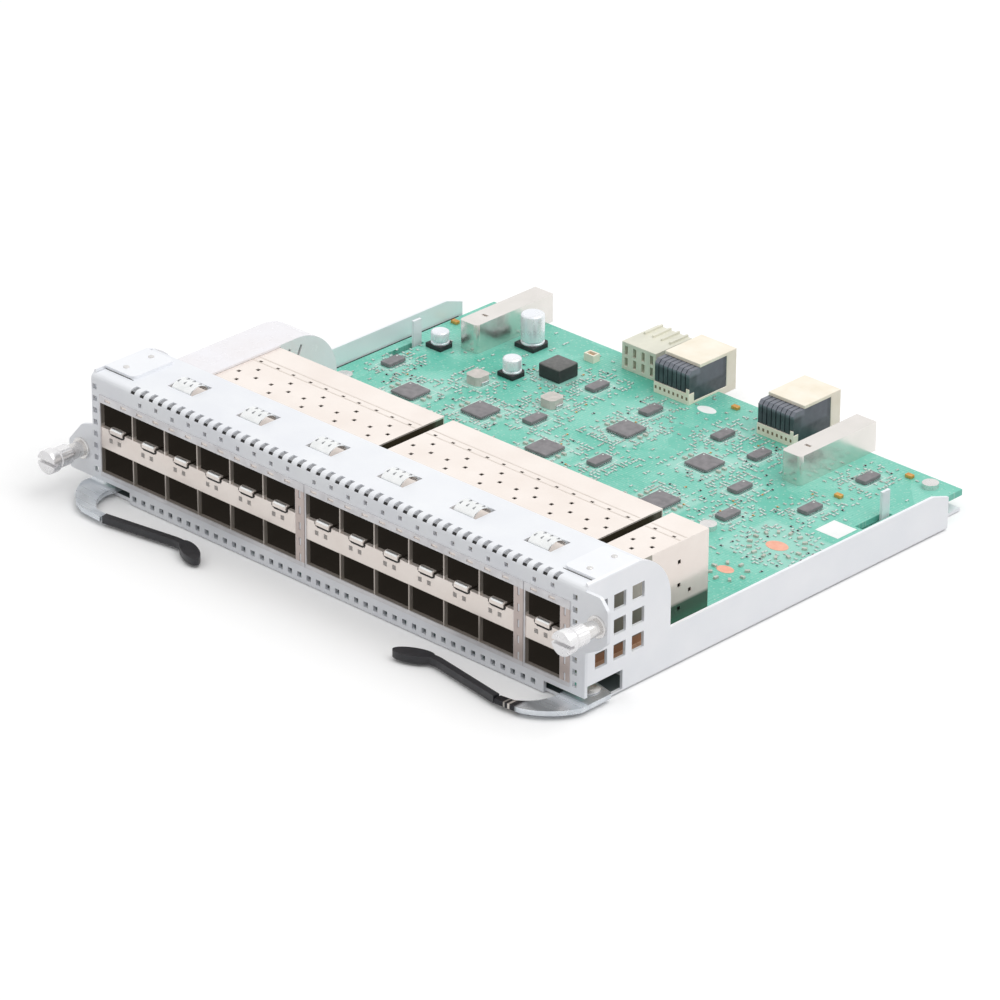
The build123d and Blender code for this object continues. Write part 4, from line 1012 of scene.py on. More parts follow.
@dataclass
class PortCages:
    """Ganged port cages with their gaskets, latch lips, host connectors and light pipes."""

    port_pitch: float = 14.25
    port_width: float = 13.75
    sheet: float = 0.4
    upper_floor: float = 22.2
    lip_width: float = 4.8
    lip_radius: float = 0.75
    lip_sheet: float = 0.22
    lip_lift: float = 0.2
    seam_width: float = 0.5
    seam_height: float = 0.03
    seam_places: tuple[float, ...] = (9.5, 12.2)
    # Sizes of the painted shade in the ports' mouths and deeper in.
    mouth_rim: float = 0.16
    mouth_depth: float = 1.7
    tongue_reach: float = 0.4
    mouth_length: float = 9.0
    board_level: float = 5.0
    # Extent of the painted brown bounce light and of the painted green reflection on the right cage's
    # side.
    brown_start: float = 8.0
    brown_top: float = 9.2
    green_top: float = 13.6
    green_half: float = 2.0
    green_rim: float = 1.2
    # Painted shade on the cages' sides: its top and rear end by the gaps, its top behind the vents,
    # its half width and rim.
    gap_top: float = 32.4
    gap_end: float = 0.3
    vents_top: float = 33.2
    side_half: float = 0.2
    side_rim: float = 0.15
    lip_turn: float = 200.0
    # Shape of the painted shade plates round the latch lips.
    shadow_depths: tuple[float, float] = (21.5, 20.6)
    shadow_margin: float = 1.15
    shadow_slope: float = 1.2
    strip_edges: tuple[float, float] = (1.4, 2.6)
    # Heights of the painted shade in the mouths of the two storeys.
    storeys: tuple[tuple[float, float], ...] = ((6.8, 15.5), (23.2, 30.7))
    # Rear end of the painted shade behind the right vents.
    vents_end: float = -49.5
    # Strength of the painted glow deep in the ports.
    port_glow: float = 0.014
    strip_width: float = 3.7
    columns: list[float] = field(default_factory=list)

    def build(self) -> int:
        """Builds the cages' looks and returns the number of new pieces."""
        for word in CAGES:
            self.dress_cage(word)
            self.dress_gasket(f"cage_gasket_{word}")
        dress("host_connectors", Finishes.CONNECTOR)
        dress("light_pipes", Finishes.PIPE)
        self.latch_lips()
        self.latch_shadow_plates()
        self.roof_seams()
        return 3

    def dress_cage(self, word: str) -> None:
        """Dresses one cage in plated sheet with painted shade and a painted glow in its ports and
        painted light and shade on its sides, and notes its columns.

        Args:
            word: Which cage: left, middle or right.
        """
        box = node_box(f"port_cage_{word}")
        front = box.low.y + self.tongue_reach
        inset, rim = self.sheet - self.mouth_rim, self.mouth_rim
        # Painted shade in the mouths of both storeys, then darker painted shade deeper in, with a
        # painted glow.
        shades = [
            Shade((box.low.x + inset, front - 1, low),
                  (box.high.x - inset, front + self.mouth_length, high), rim, Tones.MOUTH_SHADE)
            for low, high in self.storeys
        ]
        low = box.low + Vector((inset, self.mouth_depth, inset))
        high = box.high - Vector((inset, inset, inset))
        shades.append(Shade(tuple(low), tuple(high), rim, Tones.DEEP_SHADE, self.port_glow))
        # Painted shade on the sides that face the gaps between the cages.
        gap_sides = {"left": [box.high.x], "middle": [box.low.x, box.high.x], "right": [box.low.x]}
        gap_end = box.high.y - self.gap_end
        for x in gap_sides[word]:
            shades.append(self.side_shade(x, front - 1, gap_end, self.gap_top, Tones.CAGE_GAP))
        # On the right cage's side: painted shade behind the vents, painted brown bounce light above
        # the lower vents, and a painted green reflection of the board at its foot.
        if word == "right":
            x, end = box.high.x, self.vents_end
            shades.append(self.side_shade(x, front - 1, end, self.vents_top, Tones.SHADE_BEHIND_VENTS))
            shades.append(self.side_shade(x, front + self.brown_start, end, self.brown_top,
                                          Tones.PAINTED_BROWN_BOUNCE))
            half = self.green_half
            shades.append(Shade((x - half, end, self.board_level - half),
                                (x + half, box.high.y + 1, self.green_top), self.green_rim,
                                Tones.GREEN_FOOT))
        finish = Finish(
            f"cage_{word}_finish", srgb(250, 241, 234), srgb(243, 232, 224), metallic=0.4,
            rough_low=0.16, rough_high=0.26, tone_scale=70.0, shades=tuple(shades),
        )
        dress(f"port_cage_{word}", finish)
        count = round((box.size.x - 2 * self.sheet) / self.port_pitch)
        first = box.low.x + self.sheet + self.port_width / 2
        self.columns.extend(first + step * self.port_pitch for step in range(count))

    def side_shade(self, x: float, front: float, rear: float, top: float, tone: Colour) -> Shade:
        """Painted shade or bounce light over one upright side of a cage.

        Args:
            x: Place of the side across the card.
            front: Its start along the card.
            rear: Its end along the card.
            top: Its upper end.
            tone: Its colour.

        Returns:
            The shade, from the board's level up.
        """
        low = (x - self.side_half, front, self.board_level)
        return Shade(low, (x + self.side_half, rear, top), self.side_rim, tone)

    def dress_gasket(self, node: str) -> None:
        """Dresses a gasket: near the face's tone above, pinkish on the upright strip.

        Args:
            node: The gasket's node.
        """
        box = node_box(node)
        under, over = self.strip_edges
        strip = Shade((box.high.x - self.strip_width, box.low.y - 1, box.low.z + under),
                      (box.high.x + 1, box.high.y + 1, box.high.z - over), 0.1, Tones.GASKET_STRIP)
        dress(node, replace(Finishes.GASKET, name=f"{node}_finish", shades=(strip,)))

    def latch_lips(self) -> None:
        """Curled lips of the latch tongues over each upper port's sill."""
        forge = Forge("latch_lips", Finishes.SPRING)
        front = node_box("port_cage_left").low.y
        for column in self.columns:
            centre = Vector((column - self.lip_width / 2, front + self.lip_radius,
                             self.upper_floor + self.lip_lift))
            outer = centre + Vector((0, self.lip_radius, 0))
            inner = centre + Vector((0, self.lip_radius - self.lip_sheet, 0))
            verts = [forge.mesh.verts.new(outer), forge.mesh.verts.new(inner)]
            edge = forge.mesh.edges.new(verts)
            bmesh.ops.spin(
                forge.mesh, geom=[*verts, edge], cent=centre, axis=(1, 0, 0),
                angle=math.radians(self.lip_turn), steps=8,
            )
        faces = forge.mesh.faces[:]
        grown = bmesh.ops.extrude_face_region(forge.mesh, geom=faces)
        moved = [item for item in grown["geom"] if isinstance(item, bmesh.types.BMVert)]
        bmesh.ops.translate(forge.mesh, verts=moved, vec=(self.lip_width, 0, 0))
        bmesh.ops.recalc_face_normals(forge.mesh, faces=forge.mesh.faces)
        forge.finish_piece(Body.CARD, "cage_metal", smooth=35)

    def latch_shadow_plates(self) -> None:
        """Painted shade round the latch lips: thin dark plates on the band under them."""
        forge = Forge("latch_shadow_plates", Finishes.DARK)
        front = node_box("port_cage_left").low.y + self.tongue_reach - 0.03
        half = self.lip_width / 2 + self.shadow_margin
        shoulder, bottom = self.shadow_depths
        for column in self.columns:
            left, right = column - half, column + half
            outline = [(left, self.upper_floor), (left, shoulder), (left + self.shadow_slope, bottom),
                       (right - self.shadow_slope, bottom), (right, shoulder), (right, self.upper_floor)]
            forge.prism([(x, front, z) for x, z in outline], (0, 0.02, 0))
        forge.finish_piece(Body.CARD)

    def roof_seams(self) -> None:
        """Edges of the folded flaps on the cages' roofs."""
        forge = Forge("cage_roof_seams", Finishes.SEAM)
        for word in CAGES:
            box = node_box(f"port_cage_{word}")
            for place in self.seam_places:
                low = Vector((box.low.x + self.sheet, box.high.y - place, box.high.z - 0.05))
                high = Vector((box.high.x - self.sheet, low.y + self.seam_width,
                               box.high.z + self.seam_height))
                forge.block(Box(low, high))
        forge.finish_piece(Body.CARD, "cage_metal")


@dataclass
class CircuitBoard:
    """Solder-masked board with its silkscreen, label, copper pads and hundreds of tiny parts."""

    seed: int = 41
    grid: float = 1.55
    part_long: float = 1.25
    part_short: float = 0.65
    part_high: float = 0.35
    near_chip: float = 6.5
    ring_radii: tuple[tuple[float, int], ...] = (
        (6.3, 16), (8.3, 14), (10.4, 24), (12.0, 26), (13.6, 22),
    )
    near_share: float = 0.5
    far_share: float = 0.08
    kind_shares: tuple[float, float, float] = (0.34, 0.39, 0.985)
    jitter: float = 0.2
    edge_margin: float = 4.0
    part_room: float = 1.3
    ring_room: float = 0.9
    body_share: float = 0.62
    end_place: float = 0.39
    end_half: float = 0.11
    end_high: float = 0.96
    pad_sheet: float = 0.06
    label_sheet: float = 0.08
    oval_radius: float = 3.6
    gold_size: Point = (2.6, 1.8, 1.1)
    halo_margins: tuple[tuple[str, float], ...] = (
        ("square_chips", 5.5), ("small_chips", 3.6), ("inductors", 3.0), ("tall_module", 4.0),
    )
    pad_halo: tuple[float, float] = (14.0, 13.0)
    halo_levels: tuple[float, float] = (5.0, 9.0)
    halo_rim: float = 2.2
    pad_squash: float = 0.72
    oval_squash: float = 0.6
    pads: tuple[tuple[float, float, float], ...] = ((81.96, 19.5, 3.9), (81.2, -2.9, 3.0))
    oval: tuple[float, float] = (3.45, 75.3)
    gold_places: tuple[tuple[float, float], ...] = (
        (80.25, 82.9), (73.65, 57.3), (9.45, 82.2), (-98.6, 66.9),
    )
    label_low: tuple[float, float] = (83.0, 35.6)
    label_high: tuple[float, float] = (92.0, 44.4)
    silk_width: float = 0.22
    silk_height: float = 0.04
    keepouts: list[Box] = field(default_factory=list)
    board: Optional[Box] = None
    top: float = 0.0

    def build(self) -> int:
        """Builds the board's looks and returns the number of new pieces."""
        self.dress_board()
        dress("board_standoffs", Finishes.STEEL)
        dress("board_screws", Finishes.STEEL)
        dress("passives", Finishes.CERAMIC)
        self.board = node_box("circuit_board")
        self.top = self.board.high.z
        self.gather_keepouts()
        self.scatter_parts()
        self.silkscreen()
        self.copper_pads()
        self.label()
        self.loose_marks()
        return 10

    def dress_board(self) -> None:
        """Dresses the board in solder mask with pale pad areas round its chips, over the finish's
        painted bounce light and painted shade.
        """
        fields = [(chip.low, chip.high, margin, margin) for node, margin in self.halo_margins
                  for chip in island_boxes(node)]
        pad = Vector((*self.pads[0][:2], 0))
        fields.append((pad, pad, *self.pad_halo))
        under, over = self.halo_levels
        halos = [Shade((low.x - across, low.y - along, under),
                       (high.x + across, high.y + along, over), self.halo_rim, Tones.BOARD_HALO)
                 for low, high, across, along in fields]
        shades = (*halos, *Finishes.BOARD.shades)
        dress("circuit_board", replace(Finishes.BOARD, shades=shades))

    def gather_keepouts(self) -> None:
        """Collects the boxes that the tiny parts stay clear of."""
        for node in ("square_chips", "small_chips", "tall_module", "inductors", "capacitor_bases",
                     "pin_header", "board_screws", "passives"):
            self.keepouts.extend(island_boxes(node))
        rear = [f"{kind}_{side.word}" for kind in ("backplane_housing", "guide_block")
                for side in Side]
        cages = [f"port_cage_{word}" for word in CAGES]
        self.keepouts.extend(node_box(node) for node in (*rear, *cages, "power_connector"))
        for x, y in (*self.gold_places, self.oval, *(pad[:2] for pad in self.pads)):
            self.keepouts.append(Box(Vector((x - 2, y - 2, 0)), Vector((x + 2, y + 2, 9))))
        self.keepouts.append(Box(Vector((*self.label_low, 0)), Vector((*self.label_high, 9))))

    @staticmethod
    def is_free(x: float, y: float, room: float, boxes: Iterable[Box]) -> bool:
        """Whether a plan point lies further than the room from every box."""
        return all(box.clear_of(x, y, room) for box in boxes)

    def scatter_parts(self) -> None:
        """Places tiny ceramic, dark, pale and gold parts in clusters round the chips."""
        dice = random.Random(self.seed)
        chips = [*island_boxes("square_chips"), *island_boxes("small_chips"),
                 *island_boxes("inductors"), *island_boxes("tall_module")]
        forges = [Forge(f"{kind}_parts", finish) for kind, finish in (
            ("ceramic", Finishes.CERAMIC), ("resistor", Finishes.RESISTOR),
            ("pale", Finishes.PALE_PART), ("gold", Finishes.GOLD),
        )]
        ends = Forge("part_terminals", Finishes.TIN)
        cage_rear = node_box("port_cage_left").high.y
        across = int((self.board.size.x - 2 * self.edge_margin) / self.grid)
        along = int((self.board.high.y - cage_rear - self.edge_margin) / self.grid)
        first_x, first_y = self.board.low.x + self.edge_margin, cage_rear + self.edge_margin / 2
        for column in range(across):
            for row in range(along):
                x = first_x + column * self.grid + dice.uniform(-self.jitter, self.jitter)
                y = first_y + row * self.grid + dice.uniform(-self.jitter, self.jitter)
                pick, draw, lie = dice.random(), dice.random(), dice.random()
                if not self.is_free(x, y, self.part_room, self.keepouts):
                    continue
                near = not self.is_free(x, y, self.near_chip, chips)
                if draw > (self.near_share if near else self.far_share):
                    continue
                kind = sum(pick >= share for share in self.kind_shares)
                self.tiny_part(forges[kind], ends, x, y, lie < 0.5)
        centre_x, centre_y, _ = self.pads[0]
        for radius, count in self.ring_radii:
            for step in range(count):
                angle = math.tau * (step + dice.uniform(-self.jitter, self.jitter)) / count
                x, y = centre_x + radius * math.cos(angle), centre_y + radius * math.sin(angle)
                if not self.is_free(x, y, self.ring_room, self.keepouts[:-1]):
                    continue
                self.tiny_part(forges[step % 3 if step % 2 else 2], ends, x, y, step % 4 < 2)
        for forge in forges:
            forge.finish_piece(Body.CARD, "passive_beige")
        ends.finish_piece(Body.CARD, "can_metal")

    def tiny_part(self, forge: Forge, ends: Forge, x: float, y: float, upright: bool) -> None:
        """Adds one two-ended part.

        Args:
            forge: Piece that gets its body.
            ends: Piece that gets its tinned ends.
            x: Place across the card.
            y: Place along the card.
            upright: Whether its long side runs towards the rear.
        """
        half = Vector((self.part_long / 2, self.part_short / 2, 0))
        if upright:
            half = Vector((half.y, half.x, 0))
        base = Vector((x, y, self.top))
        rise = Vector((0, 0, self.part_high))
        forge.block(Box(base - half * self.body_share, base + half * self.body_share + rise))
        step = Vector((0, 1, 0)) if upright else Vector((1, 0, 0))
        for way in (-1, 1):
            tip = base + step * way * self.part_long * self.end_place
            side = Vector((half.x, 0, 0)) if upright else Vector((0, half.y, 0))
            reach = step * self.part_long * self.end_half + side
            ends.block(Box(tip - reach, tip + reach + rise * self.end_high))

    def silkscreen(self) -> None:
        """Thin pale outlines round the chips."""
        forge = Forge("silkscreen_outlines", Finishes.SILK)
        for node, margin in (("square_chips", 1.7), ("small_chips", 1.2), ("inductors", 0.9)):
            for chip in island_boxes(node):
                self.outline(forge, chip, margin)
        forge.finish_piece(Body.CARD)

    def outline(self, forge: Forge, chip: Box, margin: float) -> None:
        """Adds a thin rectangular outline on the board.

        Args:
            forge: Piece that gets the outline.
            chip: Part that it surrounds.
            margin: Gap between the part and the outline.
        """
        low = Vector((chip.low.x - margin, chip.low.y - margin, self.top))
        high = Vector((chip.high.x + margin, chip.high.y + margin, self.top + self.silk_height))
        wide = self.silk_width
        inner_low, inner_high = low.y + wide, high.y - wide
        for west, south, east, north in (
            (low.x, low.y, high.x, inner_low),
            (low.x, inner_high, high.x, high.y),
            (low.x, inner_low, low.x + wide, inner_high),
            (high.x - wide, inner_low, high.x, inner_high),
        ):
            forge.block(Box(Vector((west, south, low.z)), Vector((east, north, high.z))))

    def copper_pads(self) -> None:
        """Two bare copper ovals that the rings of parts surround."""
        forge = Forge("copper_pads", Finishes.COPPER)
        for x, y, radius in self.pads:
            made = forge.disc((x, y, self.top + self.pad_sheet / 2), radius, self.pad_sheet, 32)
            space = Matrix.Translation((-x, -y, 0))
            bmesh.ops.scale(forge.mesh, vec=(1.0, self.pad_squash, 1.0), space=space, verts=made)
        forge.finish_piece(Body.CARD)

    def label(self) -> None:
        """A small bare label near the right edge."""
        forge = Forge("bare_label", Finishes.LABEL)
        low = Vector((*self.label_low, self.top))
        forge.block(Box(low, Vector((*self.label_high, self.top + self.label_sheet))))
        forge.finish_piece(Body.CARD)

    def loose_marks(self) -> None:
        """A white oval on the mask and a few golden blocks."""
        white = Forge("white_oval", Finishes.LABEL)
        middle = (*self.oval, self.top + self.silk_height / 2)
        made = white.disc(middle, self.oval_radius, self.silk_height, 32)
        space = Matrix.Translation((-self.oval[0], -self.oval[1], 0))
        bmesh.ops.scale(white.mesh, vec=(1.0, self.oval_squash, 1.0), space=space, verts=made)
        white.finish_piece(Body.CARD)
        gold = Forge("gold_blocks", Finishes.GOLD)
        for x, y in self.gold_places:
            size = Vector(self.gold_size)
            low = Vector((x - size.x / 2, y - size.y / 2, self.top))
            gold.block(Box(low, low + size), 0.15, 1)
        gold.finish_piece(Body.CARD, "passive_beige")


@dataclass
class BoardComponents:
    """Chips with their leads, the power module, inductors, capacitors and the header."""

    lead_pitch: float = 0.8
    lead_width: float = 0.36
    can_crown: float = 0.55
    mark_radius: float = 0.32
    mark_sheet: float = 0.02
    mark_inset: float = 1.1
    body_lift: float = 0.12
    pin_size: Point = (0.32, 0.32, 1.6)
    pin_sink: float = 0.6
    lead_steps: tuple[tuple[float, float, float, float], ...] = (
        (0.0, 0.35, 0.34, 0.5), (0.28, 0.85, 0.0, 0.16),
    )
    module_rounding: float = 0.45
    wire_end: Point = (0.7, 3.2, 1.2)
    wire_out: float = 0.05
    crimp_depth: float = 0.4
    crown_sink: float = 0.12
    base_cut: float = 0.17

    def build(self) -> int:
        """Builds the components and returns a fixed count of 9 new pieces, though it makes 11."""
        self.chips("square_chips", True, 0.18)
        self.chips("small_chips", False, 0.15)
        self.module()
        self.inductors()
        self.cans()
        self.header()
        return 9

    def chips(self, node: str, four_sides: bool, bevel: float) -> None:
        """Bevelled chip bodies with a pin mark, and their bent leads.

        Args:
            node: Node of the chips.
            four_sides: Whether leads stand on all four sides, or on the long ones only.
            bevel: Rounding of the mould.
        """
        bodies = Forge(f"{node}_bodies", Finishes.CHIP)
        marks = Forge(f"{node}_pin_marks", Finishes.PALE_PART)
        leads = Forge(f"{node}_leads", Finishes.TIN)
        for box in island_boxes(node):
            lifted = Box(box.low + Vector((0, 0, self.body_lift)), box.high)
            bodies.block(lifted, bevel, 1)
            spot = (box.low.x + self.mark_inset, box.high.y - self.mark_inset,
                    box.high.z + self.mark_sheet / 4)
            marks.disc(spot, self.mark_radius, self.mark_sheet, 12)
            self.leads(leads, box, four_sides)
        bodies.finish_piece(Body.CARD, "chip_grey", [node])
        marks.finish_piece(Body.CARD)
        leads.finish_piece(Body.CARD, "can_metal")

    def leads(self, forge: Forge, box: Box, four_sides: bool) -> None:
        """Adds the leads of one chip.

        Args:
            forge: Piece that gets the leads.
            box: The chip's box.
            four_sides: Whether leads stand on all four sides.
        """
        count = int((box.size.y - self.lead_pitch) / self.lead_pitch)
        middle = box.centre
        for index in range(count):
            shift = (index - (count - 1) / 2) * self.lead_pitch
            for way in (-1, 1):
                foot = Vector((middle.x + way * box.size.x / 2, middle.y + shift, box.low.z))
                self.lead(forge, foot, Vector((way, 0, 0)))
                if four_sides:
                    foot = Vector((middle.x + shift, middle.y + way * box.size.y / 2, box.low.z))
                    self.lead(forge, foot, Vector((0, way, 0)))

    def lead(self, forge: Forge, foot: Vector, out: Vector) -> None:
        """Adds one lead: a shoulder beside the body and a foot on the board.

        Args:
            forge: Piece that gets the lead.
            foot: Point on the board at the body's side.
            out: Direction away from the body.
        """
        half = Vector((abs(out.y), abs(out.x), 0)) * self.lead_width / 2
        for near, far, low, high in self.lead_steps:
            first, second = foot + out * near, foot + out * far
            corner = Vector(map(min, first, second)) - half + Vector((0, 0, low))
            other = Vector(map(max, first, second)) + half + Vector((0, 0, high))
            forge.block(Box(corner, other))

    def module(self) -> None:
        """The tall power module with rounded edges."""
        box = node_box("tall_module")
        sides = Shade((box.low.x - 1, box.low.y - 1, box.low.z - 1),
                      (box.high.x + 1, box.high.y + 1, box.high.z - 0.25), 0.3, Tones.MODULE_SIDE)
        finish = replace(Finishes.MODULE, shades=(sides,))
        forge = Forge("tall_module_body", finish)
        forge.block(box, self.module_rounding, 3)
        forge.finish_piece(Body.CARD, "chip_grey", ["tall_module"], smooth=35)

    def inductors(self) -> None:
        """Pressed inductors with their wire ends."""
        dress("inductors", Finishes.INDUCTOR)
        ends = Forge("inductor_ends", Finishes.TIN)
        size = Vector(self.wire_end)
        for box in island_boxes("inductors"):
            for way in (-1, 1):
                x = box.centre.x + way * (box.size.x / 2 + self.wire_out)
                low = Vector((x - size.x / 2, box.centre.y - size.y / 2, box.low.z))
                ends.block(Box(low, low + size), 0.12, 1)
        ends.finish_piece(Body.CARD, "can_metal")

    def cans(self) -> None:
        """Electrolytic capacitors: turned cans with a crimp, and bases with two cut corners."""
        cans = Forge("capacitor_can_shells", Finishes.CAN)
        bases = Forge("capacitor_base_blocks", Finishes.CAN_BASE)
        for can, base in zip(island_boxes("capacitor_cans"), island_boxes("capacitor_bases")):
            radius, bottom, top = can.size.x / 2, can.low.z, can.high.z
            height = top - bottom
            seat = (can.centre.x, can.centre.y, bottom)
            crown, neck, sunk = self.can_crown, radius - self.crimp_depth, height - self.crown_sink
            cans.lathe(
                [(0, 0), (radius, 0), (radius, 0.45), (neck, 0.75), (neck, 0.95), (radius, 1.25),
                 (radius, height - crown), (radius - 0.16, height - 0.22), (radius - crown, height),
                 (radius - crown - 0.35, sunk), (0, sunk)],
                seat,
            )
            half, cut = base.size.x / 2, base.size.x * self.base_cut
            x, y = base.centre.x, base.centre.y
            bases.plate(
                [(x - half, y - half), (x + half, y - half), (x + half, y + half - cut),
                 (x + half - cut, y + half), (x - half + cut, y + half),
                 (x - half, y + half - cut)],
                base.low.z, base.size.z, 0.12, 1,
            )
        cans.finish_piece(Body.CARD, "can_metal", ["capacitor_cans"], smooth=40)
        bases.finish_piece(Body.CARD, "can_base", ["capacitor_bases"])

    def header(self) -> None:
        """The small header and its pins."""
        dress("pin_header", Finishes.IVORY)
        box = node_box("pin_header")
        pins = Forge("header_pins", Finishes.GOLD)
        size = Vector(self.pin_size)
        for step in (-1, 0, 1):
            low = Vector((box.centre.x + step - size.x / 2, box.centre.y - size.y / 2,
                          box.low.z + self.pin_sink))
            pins.block(Box(low, low + size))
        pins.finish_piece(Body.CARD)


@dataclass
class RearConnectors:
    """Backplane connectors, power connector and guide blocks at the board's rear edge."""

    hole_size: float = 0.75
    post_size: float = 1.3
    post_high: float = 1.7
    post_lift: float = 2.9
    hole_level: float = 8.1
    bar_high: float = 1.0
    bar_rise: float = 4.3
    bar_inset: float = 0.4
    guide_rounding: float = 0.35
    housing_rounding: float = 0.18
    power_rounding: float = 0.15
    hole_tall: float = 1.4
    crown_depth: float = 2.4
    crown_length: float = 5.5
    # Place and rim of the painted highlight on the wafers' outer side.
    sheen_start: float = 3.0
    sheen_depth: float = 6.5
    sheen_rim: float = 3.0

    def build(self) -> int:
        """Builds the connectors' looks and returns the number of new pieces."""
        for side in Side:
            dress(f"backplane_housing_{side.word}", Finishes.IVORY)
            self.dress_wafers(f"backplane_wafers_{side.word}")
            dress(f"guide_block_{side.word}", Finishes.NICKEL)
            soften(f"guide_block_{side.word}", self.guide_rounding)
            soften(f"backplane_housing_{side.word}", self.housing_rounding)
        dress("power_connector", Finishes.POWER)
        soften("power_connector", self.power_rounding)
        self.foot_holes()
        self.end_posts()
        self.power_bar()
        return 3

    def power_bar(self) -> None:
        """Crossbar that parts the power connector's front slots into two rows."""
        forge = Forge("power_crossbar", Finishes.POWER)
        box = node_box("power_connector")
        low = Vector((box.low.x + self.bar_inset, box.low.y + 0.02, box.low.z + self.bar_rise))
        high = Vector((box.high.x - self.bar_inset, low.y + 1.0, low.z + self.bar_high))
        forge.block(Box(low, high))
        forge.finish_piece(Body.CARD, "power_ivory")

    def end_posts(self) -> None:
        """Raised post at the right end of each backplane connector's foot."""
        forge = Forge("connector_end_posts", Finishes.IVORY)
        for side in Side:
            housing = node_box(f"backplane_housing_{side.word}")
            wafers = node_box(f"backplane_wafers_{side.word}")
            low = Vector((housing.high.x - self.post_size, housing.low.y - 0.01,
                          wafers.low.z + self.post_lift))
            high = Vector((housing.high.x, wafers.low.y, low.z + self.post_high))
            forge.block(Box(low, high), 0.1, 1)
        forge.finish_piece(Body.CARD, "housing_ivory")

    def dress_wafers(self, node: str) -> None:
        """Dresses a wafer stack: slate on its crowns, and a painted highlight near the cover on its
        outer side.

        Args:
            node: The stack's node.
        """
        box = node_box(node)
        low, high = box.low, box.high
        crown = Shade((low.x - 1, low.y - 1, high.z - self.crown_depth),
                      (high.x + 1, low.y + self.crown_length, high.z + 1), 1.0, Tones.WAFER_CROWN)
        # Painted highlight on the outer side, near the cover.
        sheen = Shade((high.x - 1, low.y + self.sheen_start, high.z - self.sheen_depth),
                      (high.x + 1, high.y - 1, high.z + 2), self.sheen_rim, Tones.WAFER_SHEEN)
        dress(node, replace(Finishes.WAFER, name=f"{node}_finish", shades=(crown, sheen)))

    def foot_holes(self) -> None:
        """Dark square holes along the foot of each backplane connector."""
        forge = Forge("connector_foot_holes", Finishes.BROWN)
        for side in Side:
            box = node_box(f"backplane_housing_{side.word}")
            size = Vector((self.hole_size, 0.06, self.hole_size * self.hole_tall))
            for wafer in island_boxes(f"backplane_wafers_{side.word}"):
                low = Vector((wafer.centre.x - size.x / 2, box.low.y - 0.02, self.hole_level))
                forge.block(Box(low, low + size))
        forge.finish_piece(Body.CARD)


@dataclass
class AirGuide:
    """Thin translucent hood over the first port column."""

    def build(self) -> int:
        """Dresses the hood and returns the number of new pieces."""
        dress("air_guide", Finishes.GUIDE)
        return 0


@dataclass
class EjectorLever:
    """Stamped lever with a moulded grip and its shoulder rivet, on one side of the card."""

    side: Side
    shank_radius: float = 2.5
    head_high: float = 0.9
    arm_rounding: float = 0.3
    grip_rounding: float = 0.7

    def build(self) -> int:
        """Builds one lever's looks and returns the number of new pieces."""
        word = self.side.word
        # The right lever wears the finish with painted reflections.
        finish = Finishes.LEVER_DARK if self.side is Side.RIGHT else Finishes.LEVER
        dress(f"lever_arm_{word}", finish)
        dress(f"lever_grip_{word}", Finishes.GRIP)
        soften(f"lever_arm_{word}", self.arm_rounding)
        soften(f"lever_grip_{word}", self.grip_rounding, 3)
        self.rivet()
        return 1

    def rivet(self) -> None:
        """Turned shoulder rivet with a domed head."""
        node = f"lever_rivet_{self.side.word}"
        box = node_box(node)
        radius, shoulder = box.size.x / 2, box.size.z - self.head_high
        forge = Forge(f"shoulder_rivet_{self.side.word}", Finishes.STEEL)
        forge.lathe(
            [(0, 0), (self.shank_radius, 0), (self.shank_radius, shoulder), (radius, shoulder),
             (radius, shoulder + 0.3), (radius * 0.86, shoulder + 0.62),
             (radius * 0.55, box.size.z), (0, box.size.z)],
            (box.centre.x, box.centre.y, box.low.z),
        )
        forge.finish_piece(Body.CARD, "rivet_metal", [node], smooth=40)


